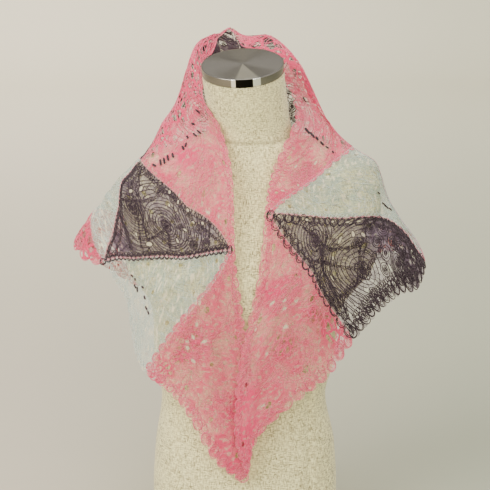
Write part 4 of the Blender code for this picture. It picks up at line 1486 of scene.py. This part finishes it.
CHAINS = (
    # patch, size of the loops in millimetres, places along the chain
    ("black_front_left", 1.5, ((1.43, 0.50), (1.38, 0.55), (1.31, 0.584), (1.26, 0.60), (1.206, 0.625),
                               (1.15, 0.656), (1.10, 0.67), (1.05, 0.68))),
    ("black_front_left", 1.4, ((1.281, 0.70), (1.281, 0.606), (1.291, 0.547), (1.303, 0.484),
                               (1.325, 0.419))),
    ("black_front_left", 1.8, ((1.425, 0.462), (1.387, 0.425), (1.344, 0.388), (1.312, 0.331),
                               (1.275, 0.306), (1.228, 0.259), (1.178, 0.241), (1.128, 0.197),
                               (1.081, 0.15), (1.028, 0.078))),
    ("black_front_left", 1.4, ((1.10, 0.681), (1.094, 0.606), (1.122, 0.534), (1.159, 0.466))),
    ("black_front_left", 1.4, ((1.156, 0.45), (1.109, 0.447), (1.053, 0.466))),
    ("black_front_left", 1.6, ((1.03, 0.90), (1.10, 0.83), (1.17, 0.78))),
    ("black_front_right", 1.6, ((3.084, 0.266), (3.144, 0.425), (3.144, 0.537), (3.128, 0.597),
                                (3.106, 0.631))),
    ("black_front_right", 1.5, ((3.206, 0.25), (3.209, 0.428), (3.216, 0.541), (3.216, 0.591))),
    ("black_front_right", 1.4, ((3.069, 0.387), (3.131, 0.406), (3.212, 0.312))),
    ("black_front_right", 1.8, ((3.116, 0.703), (3.178, 0.666), (3.219, 0.644), (3.288, 0.569),
                                (3.362, 0.469), (3.419, 0.481))),
    ("black_front_right", 2.2, ((3.041, 0.666), (3.038, 0.75), (3.031, 0.819), (3.016, 0.891))),
    ("black_front_right", 2.0, ((3.10, 0.68), (3.078, 0.728), (3.078, 0.809), (3.05, 0.88))),
    ("black_front_right", 2.2, ((3.02, 0.97), (3.072, 0.916), (3.125, 0.856), (3.188, 0.80),
                                (3.256, 0.731), (3.309, 0.666), (3.378, 0.597), (3.441, 0.534))),
    ("black_front_right", 1.8, ((3.06, 0.90), (3.17, 0.78), (3.29, 0.65), (3.42, 0.52))),
    ("black_back_left", 2.0, ((1.55, 0.52), (1.70, 0.60), (1.82, 0.58), (1.95, 0.50))),
    ("black_back_right", 2.0, ((2.45, 0.52), (2.30, 0.60), (2.18, 0.58), (2.05, 0.50))),
)
BUNDLES = (
    # patch, yarns, spread in millimetres, places along the bundle
    ("black_front_left", 9, 4.5, ((1.47, 0.51), (1.42, 0.57), (1.356, 0.638), (1.281, 0.713),
                                  (1.219, 0.756), (1.172, 0.77), (1.119, 0.765), (1.04, 0.76))),
    ("black_front_left", 6, 4.0, ((1.47, 0.52), (1.36, 0.63), (1.22, 0.77), (1.12, 0.87), (1.03, 0.96))),
    ("black_front_left", 6, 5.0, ((1.46, 0.49), (1.36, 0.53), (1.25, 0.575), (1.15, 0.60), (1.02, 0.62))),
    ("black_front_right", 6, 5.0, ((3.02, 0.60), (3.12, 0.62), (3.25, 0.60), (3.36, 0.50), (3.44, 0.49))),
    ("black_front_right", 5, 4.0, ((3.05, 0.20), (3.16, 0.36), (3.27, 0.42), (3.40, 0.46))),
    ("black_front_right", 7, 3.5, ((3.01, 0.62), (3.015, 0.80), (3.01, 0.98))),
)
EDGE_LOOPS = (
    # patch, side, pitch, radius and inset in millimetres, how thick, how far past the rim in millimetres
    ("black_front_left", 0, 5.0, 3.0, 2.2, 1.0, 0),
    ("black_front_left", 1, 7.0, 3.8, 3.4, 1.1, 0),
    ("black_front_left", 2, 11.8, 5.6, 0.6, 1.5, 9),
    ("black_front_left", 2, 11.8, 4.2, 0.6, 1.2, 9),
    ("black_front_left", 2, 7.0, 3.2, 6.2, 1.1, 0),
    ("black_front_right", 0, 15.0, 7.2, 6.6, 1.5, 2),
    ("black_front_right", 0, 15.0, 5.4, 6.6, 1.1, 2),
    ("black_front_right", 1, 15.5, 7.2, 2.6, 1.5, 9),
    ("black_front_right", 1, 15.5, 5.6, 2.6, 1.2, 9),
    ("black_front_right", 1, 8.0, 4.4, 6.4, 1.3, 0),
    ("black_front_right", 2, 15.5, 7.6, 1.2, 1.5, 9),
    ("black_front_right", 2, 15.5, 6.2, 1.2, 1.3, 9),
    ("black_front_right", 2, 9.0, 4.6, 9.5, 1.0, 0),
    ("black_back_left", 0, 9.0, 5.0, 4.4, 1.2, 0),
    ("black_back_left", 1, 9.0, 5.0, 9.0, 1.2, 0),
    ("black_back_left", 2, 9.0, 5.0, 4.4, 1.2, 0),
    ("black_back_right", 0, 9.0, 5.0, 4.4, 1.2, 0),
    ("black_back_right", 1, 9.0, 5.0, 4.4, 1.2, 0),
    ("black_back_right", 2, 9.0, 5.0, 4.4, 1.2, 0),
)
BLACK_LACE = (
    # patch, seed of its random draws, how far apart its wide rings lie in metres
    ("black_front_left", 3, 0.0050),
    ("black_front_right", 13, 0.0060),
    ("black_back_left", 5, 0.0046),
    ("black_back_right", 10, 0.0046),
)
HEART_RADII = np.arange(0.0008, 0.0062, 0.0009)
FIRST_WIDE_RING = 0.0105
BUD_CIRCLE = 0.0095
BUD_RADIUS = 0.0022


def black_yarn(name, corner_names, seed, close):
    """The yarn of one black patch, with its wide rings this close together."""
    yarn = Yarn(name, corner_names, seed)
    heads = [(place_of(a, c), reach * MM) for patch, a, c, reach in BIG_FLOWERS if patch == name]
    small = [(place_of(a, c), reach * MM) for patch, a, c, reach in SMALL_FLOWERS if patch == name]

    def nearest(own):
        def keep(points):
            shares = [np.linalg.norm(points - middle, axis=1) / reach for middle, reach in heads]
            clear = np.ones(len(points), dtype=bool)
            for middle, reach in small:
                clear &= np.linalg.norm(points - middle, axis=1) > reach
            return clear & (np.argmin(shares, axis=0) == own)
        return keep

    for own, (middle, reach) in enumerate(heads):
        for radius in HEART_RADII:
            yarn.ring(middle, radius, 1.2, 0.06)
        for radius in np.arange(FIRST_WIDE_RING, 1.5 * reach, close):
            yarn.ring(middle, radius, 1.2, 0.035, keep=nearest(own))
        yarn.rays(middle, 0.30 * reach, 0.42 * reach, 22, 0.8, keep=nearest(own))
        for turn in np.linspace(0, 2 * np.pi, 9, endpoint=False):
            bud = middle + BUD_CIRCLE * np.array([math.cos(turn), math.sin(turn)])
            yarn.ring(bud, BUD_RADIUS, 1.4, 0.1)
    for middle, reach in small:
        yarn.flower(middle, reach, 0.0024, 1.15)
    for patch, size, places in CHAINS:
        if patch == name:
            yarn.chain(places, 1.35 * size * MM, 1.0)
    for patch, count, spread, places in BUNDLES:
        if patch == name:
            yarn.bundle(places, count, spread * MM, 0.9)
    for patch, side, pitch, radius, inset, thickness, past in EDGE_LOOPS:
        if patch == name:
            yarn.loops(side, pitch * MM, radius * MM, inset * MM, thickness, margin=past * MM)
    yarn.frame_windows(1.1)
    yarn.drift(90, 0.05, 0.8)
    return yarn


PATCH_CORNERS = {row[0]: row[2] for row in PATCHES}
yarns = {name: black_yarn(name, PATCH_CORNERS[name], seed, close) for name, seed, close in BLACK_LACE}
print("black yarn points:", {name: yarn.points() for name, yarn in yarns.items()})

# %% [markdown]
# ### Pink and mint lace
#
# The pink is brushed, so its yarn hardly shows where it is close. It shows along the edges, as
# loops, and in the open work, as soft strands. The mint is finer still, with threads that run
# mostly one way.

# %% Draw the pink and mint lace
PINK_FLOWERS = (
    # patch, along, across, reach in millimetres
    ("pink_front_right", 3.578, 0.228, 34),
    ("pink_front_right", 3.300, 0.130, 26),
    ("pink_front_left", 0.597, 0.234, 30),
    ("pink_front_left", 0.300, 0.130, 24),
    ("pink_collar_left", 1.300, 0.170, 28),
    ("pink_collar_right", 2.700, 0.180, 28),
    ("pink_back_left", 1.400, 1.150, 32),
    ("pink_back_right", 2.600, 1.150, 32),
)
PINK_SEED, MINT_SEED = 100, 200  # the patch's number is added


def pink_yarn(name, corner_names, free, over, seed):
    yarn = Yarn(name, corner_names, seed)
    yarn.frame_windows(0.9)
    for side in free + over:
        yarn.loops(side, SCALLOP_PITCH, 0.0070, 0.0006, 1.1, margin=0.012)
        yarn.loops(side, SCALLOP_PITCH, 0.0056, 0.0006, 0.9, margin=0.012)
        yarn.loops(side, 0.0080, 0.0042, 0.0064, 0.9)
    for side in set(range(3)) - set(free + over):
        yarn.loops(side, 0.0074, 0.0036, 0.0040, 0.8)
    for patch, along, across, reach in PINK_FLOWERS:
        if patch == name:
            middle = place_of(along, across)
            yarn.flower(middle, reach * MM, 0.0052, 0.8)
            yarn.rays(middle, 0.4 * reach * MM, 1.1 * reach * MM, 30, 0.8)
    for patch, along, across, reach, strength in OPEN_WORK:
        if patch == name and strength > 0:
            middle, spread = place_of(along, across), reach * MM
            for _ in range(int(15 * strength)):
                place = middle + yarn.random.normal(0, 0.42 * spread, 2)
                yarn.ring(place, yarn.random.uniform(0.0035, 0.0085), 1.1, 0.18)
    yarn.drift(150, 0.045, 0.8)
    return yarn


def mint_yarn(name, corner_names, free, seed):
    yarn = Yarn(name, corner_names, seed)
    for side in range(3):
        yarn.loops(side, 0.0070, 0.0030, 0.0032, 0.8)
    for side in free:
        yarn.loops(side, 0.0120, 0.0050, 0.0006, 1.0, margin=0.010)
    yarn.drift(130, 0.06, 0.6, heading=math.radians(60), sway=0.35)
    yarn.drift(60, 0.03, 0.6)
    return yarn


for number, (name, colour, corner_names, free, over, cut) in enumerate(PATCHES):
    if colour == PINK:
        yarns[name] = pink_yarn(name, corner_names, free, over, PINK_SEED + number)
    if colour == MINT:
        yarns[name] = mint_yarn(name, corner_names, free, MINT_SEED + number)
print("points in all:", sum(yarn.points() for yarn in yarns.values()))

# %% Spin the yarn and give it its finish
SEAM = "seam"
YARN_RADIUS = {PINK: 0.00044, MINT: 0.00032, BLACK: 0.00047, SEAM: 0.00028}
YARN_TINT = {
    # colour: dark and light shade of the yarn
    PINK: ((0.60, 0.10, 0.17, 1.0), (0.78, 0.24, 0.30, 1.0)),
    MINT: ((0.46, 0.53, 0.50, 1.0), (0.66, 0.70, 0.65, 1.0)),
    BLACK: ((0.026, 0.017, 0.022, 1.0), (0.105, 0.074, 0.085, 1.0)),
    SEAM: ((0.70, 0.27, 0.32, 1.0), (0.86, 0.50, 0.50, 1.0)),
}


def yarn_finish(colour):
    dark, light = YARN_TINT[colour]
    finish = Finish(colour + "_yarn", Roughness=0.85, Specular_IOR_Level=0.2)
    finish.shader.inputs["Sheen Weight"].default_value = 0.1 if colour == BLACK else 0.2
    where = finish.node("TexCoord").outputs["Object"]
    twist = finish.ramp(finish.noise(where, 500.0, 2.0), 0.35, 0.65)
    finish.join(finish.mix(twist, dark, light), finish.shader.inputs["Base Color"])
    finish.bump(twist, 0.3, 0.0003)
    return finish.material


def spin_yarn(name, lines, radius, material):
    """Turns all the lines of a patch into tubes, as one mesh."""
    curve = bpy.data.curves.new(name, "CURVE")
    curve.dimensions = "3D"
    curve.bevel_depth = radius
    curve.bevel_resolution = 0
    curve.use_fill_caps = True
    flat = np.concatenate([line[0] for line in lines])
    lift = np.concatenate([np.full(len(line[0]), line[2]) for line in lines])
    worn = lay(flat, lift)
    done = 0
    for points, thickness, _, closed in lines:
        spline = curve.splines.new("POLY")
        spline.points.add(len(points) - 1)
        row = np.column_stack([worn[done : done + len(points)], np.ones(len(points))])
        spline.points.foreach_set("co", row.ravel())
        spline.points.foreach_set("radius", np.full(len(points), thickness))
        spline.use_cyclic_u = closed
        done += len(points)
    source = bpy.data.objects.new(name, curve)
    scene.collection.objects.link(source)
    ready = source.evaluated_get(bpy.context.evaluated_depsgraph_get())
    mesh = bpy.data.meshes.new_from_object(ready)
    bpy.data.objects.remove(source)
    bpy.data.curves.remove(curve)
    mesh.name = name
    mesh.materials.clear()
    mesh.materials.append(material)
    mesh.shade_smooth()
    piece = bpy.data.objects.new(name, mesh)
    scene.collection.objects.link(piece)
    return piece


yarn_materials = {colour: yarn_finish(colour) for colour in YARN_RADIUS}
yarn_pieces = {}
for name, colour, *_ in PATCHES:
    yarn_pieces[name] = spin_yarn(
        name + "_yarn", yarns[name].lines, YARN_RADIUS[colour], yarn_materials[colour]
    )
sizes = {name: sum(len(p.vertices) - 2 for p in piece.data.polygons) for name, piece in yarn_pieces.items()}
print("yarn triangles:", sum(sizes.values()), sizes)

# %% [markdown]
# ### Sewing and dark slots
#
# The patches are joined with pink thread that zigzags over each seam, with a small picot at every
# loop of a black edge. Where the collar folds over, a row of short slits in the lace shows deep shade
# behind, and a few more lie in the mint. Short bars of dark yarn are laid in them as painted shade.

# %% Sew the seams and lay painted shade in the slots
SEWN = (
    # two corners, and whether the seam has picots
    ("front_left", "elbow_left", False), ("front_left", "wing_left", True),
    ("front_left", "shoulder_left", False), ("shoulder_left", "wing_left", True),
    ("shoulder_left", "nape", False), ("shoulder_left", "back_middle", True),
    ("wing_left", "back_middle", False), ("nape", "back_middle", True),
    ("shoulder_right", "nape", False), ("shoulder_right", "back_middle", True),
    ("wing_right", "back_middle", False), ("shoulder_right", "wing_right", False),
    ("front_right", "shoulder_right", False), ("front_right", "wing_right", True),
    ("front_right", "elbow_right", False),
)
STITCH_PITCH = 0.0044
STITCH_REACH = 0.0008
STITCH_LIFT = 0.0007
PICOT_PITCH = 0.0090
PICOT_RADIUS = 0.0016
PICOT_LIFT = 0.0008
# dark yarn bars laid as painted shade, where slits in the lace show deep shade behind
SLOT_SHADE_RADIUS = 0.00058
SLOT_SHADE_STEP = 0.0008
SLOT_SHADE_LIFT = 0.0011
SLOTS = (
    # along, across, length in millimetres, turn in degrees
    (1.447, 0.403, 6.0, 60), (1.450, 0.369, 7.0, 10), (1.450, 0.350, 7.0, 10), (1.456, 0.331, 7.0, 10),
    (1.456, 0.306, 6.0, 15), (1.469, 0.256, 6.5, 15), (1.478, 0.241, 5.5, -20), (1.509, 0.184, 7.0, 30),
    (1.513, 0.156, 7.0, 40), (1.522, 0.228, 4.5, 20), (1.597, 0.116, 7.0, 60), (1.556, 0.175, 5.0, 60),
    (2.509, 0.059, 9.0, 75), (2.513, 0.092, 9.0, 75), (2.515, 0.125, 6.0, 75), (2.525, 0.169, 9.0, 75),
    (2.541, 0.216, 8.0, 70), (2.562, 0.290, 9.0, 75), (0.887, 0.738, 6.5, 60), (0.869, 0.706, 4.5, 30),
    (0.831, 0.694, 7.5, 60), (0.822, 0.666, 7.0, 30), (0.841, 0.616, 6.0, 80), (0.806, 0.556, 7.0, 70),
    (0.766, 0.528, 7.0, 60), (0.750, 0.506, 5.0, 50), (2.913, 0.688, 6.0, 70), (2.928, 0.709, 8.0, 60),
    (2.931, 0.737, 5.0, 60), (2.853, 0.641, 4.0, 60),
)


def seam_stitches(first, second, picots):
    """A zigzag of thread over one seam, with small loops where it has picots."""
    start, end = (np.array(flat_corner(name).xy) for name in (first, second))
    length = np.linalg.norm(end - start)
    run = (end - start) / length
    aside = np.array([-run[1], run[0]])
    share = np.arange(0.004, length - 0.004, STITCH_PITCH / 4)
    swing = np.sin(share / STITCH_PITCH * 2 * np.pi) * STITCH_REACH
    lines = [(start + run * share[:, None] + aside * swing[:, None], 1.0, STITCH_LIFT, False)]
    if picots:
        turn = np.linspace(0, 2 * np.pi, 8, endpoint=False)
        circle = np.column_stack([np.cos(turn), np.sin(turn)]) * PICOT_RADIUS
        for place in np.arange(0.008, length - 0.006, PICOT_PITCH):
            lines.append((circle + start + run * place, 0.9, PICOT_LIFT, True))
    return lines


def slot_shade_bars(along, across, length, degrees):
    """Three dark yarns side by side: painted shade in a slit of the lace."""
    turn = math.radians(degrees)
    run = np.array([math.cos(turn), math.sin(turn)])
    aside = np.array([-run[1], run[0]])
    reach = np.linspace(-0.65 * length * MM, 0.65 * length * MM, 5)[:, None]
    middle = place_of(along, across)
    lines = []
    for n in (-1, 0, 1):
        points = middle + run * reach * (1 - 0.25 * abs(n)) + aside * n * SLOT_SHADE_STEP
        lines.append((points, 1.2, SLOT_SHADE_LIFT, False))
    return lines


stitches = [line for row in SEWN for line in seam_stitches(*row)]
sewing = spin_yarn("seam_stitches", stitches, YARN_RADIUS[SEAM], yarn_materials[SEAM])
# painted shade: short dark bars in the slits of the collar and the mint
shade_bar_lines = [line for row in SLOTS for line in slot_shade_bars(*row)]
slots = spin_yarn("painted_slot_shade", shade_bar_lines, SLOT_SHADE_RADIUS, yarn_materials[BLACK])
for piece, colour in ((sewing, PINK), (slots, BLACK)):
    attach(piece, "root")
print("stitched seams:", len(SEWN), "slots:", len(SLOTS))

# %% [markdown]
# ## Hide the solids and attach the pieces
#
# Each net stands in for its solid, which is hidden. Each is a sheet of cloth with a known cut, a
# half-square triangle, that lies draped on the form with its yarn on it. Everything rides on the one body.

for name, colour, corner_names, free, over, cut in PATCHES:
    shell, yarn_piece = shells[name], yarn_pieces[name]
    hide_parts(name)
    for piece in (shell, yarn_piece):
        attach(piece, "root")
print("sheets:", len(PATCHES))
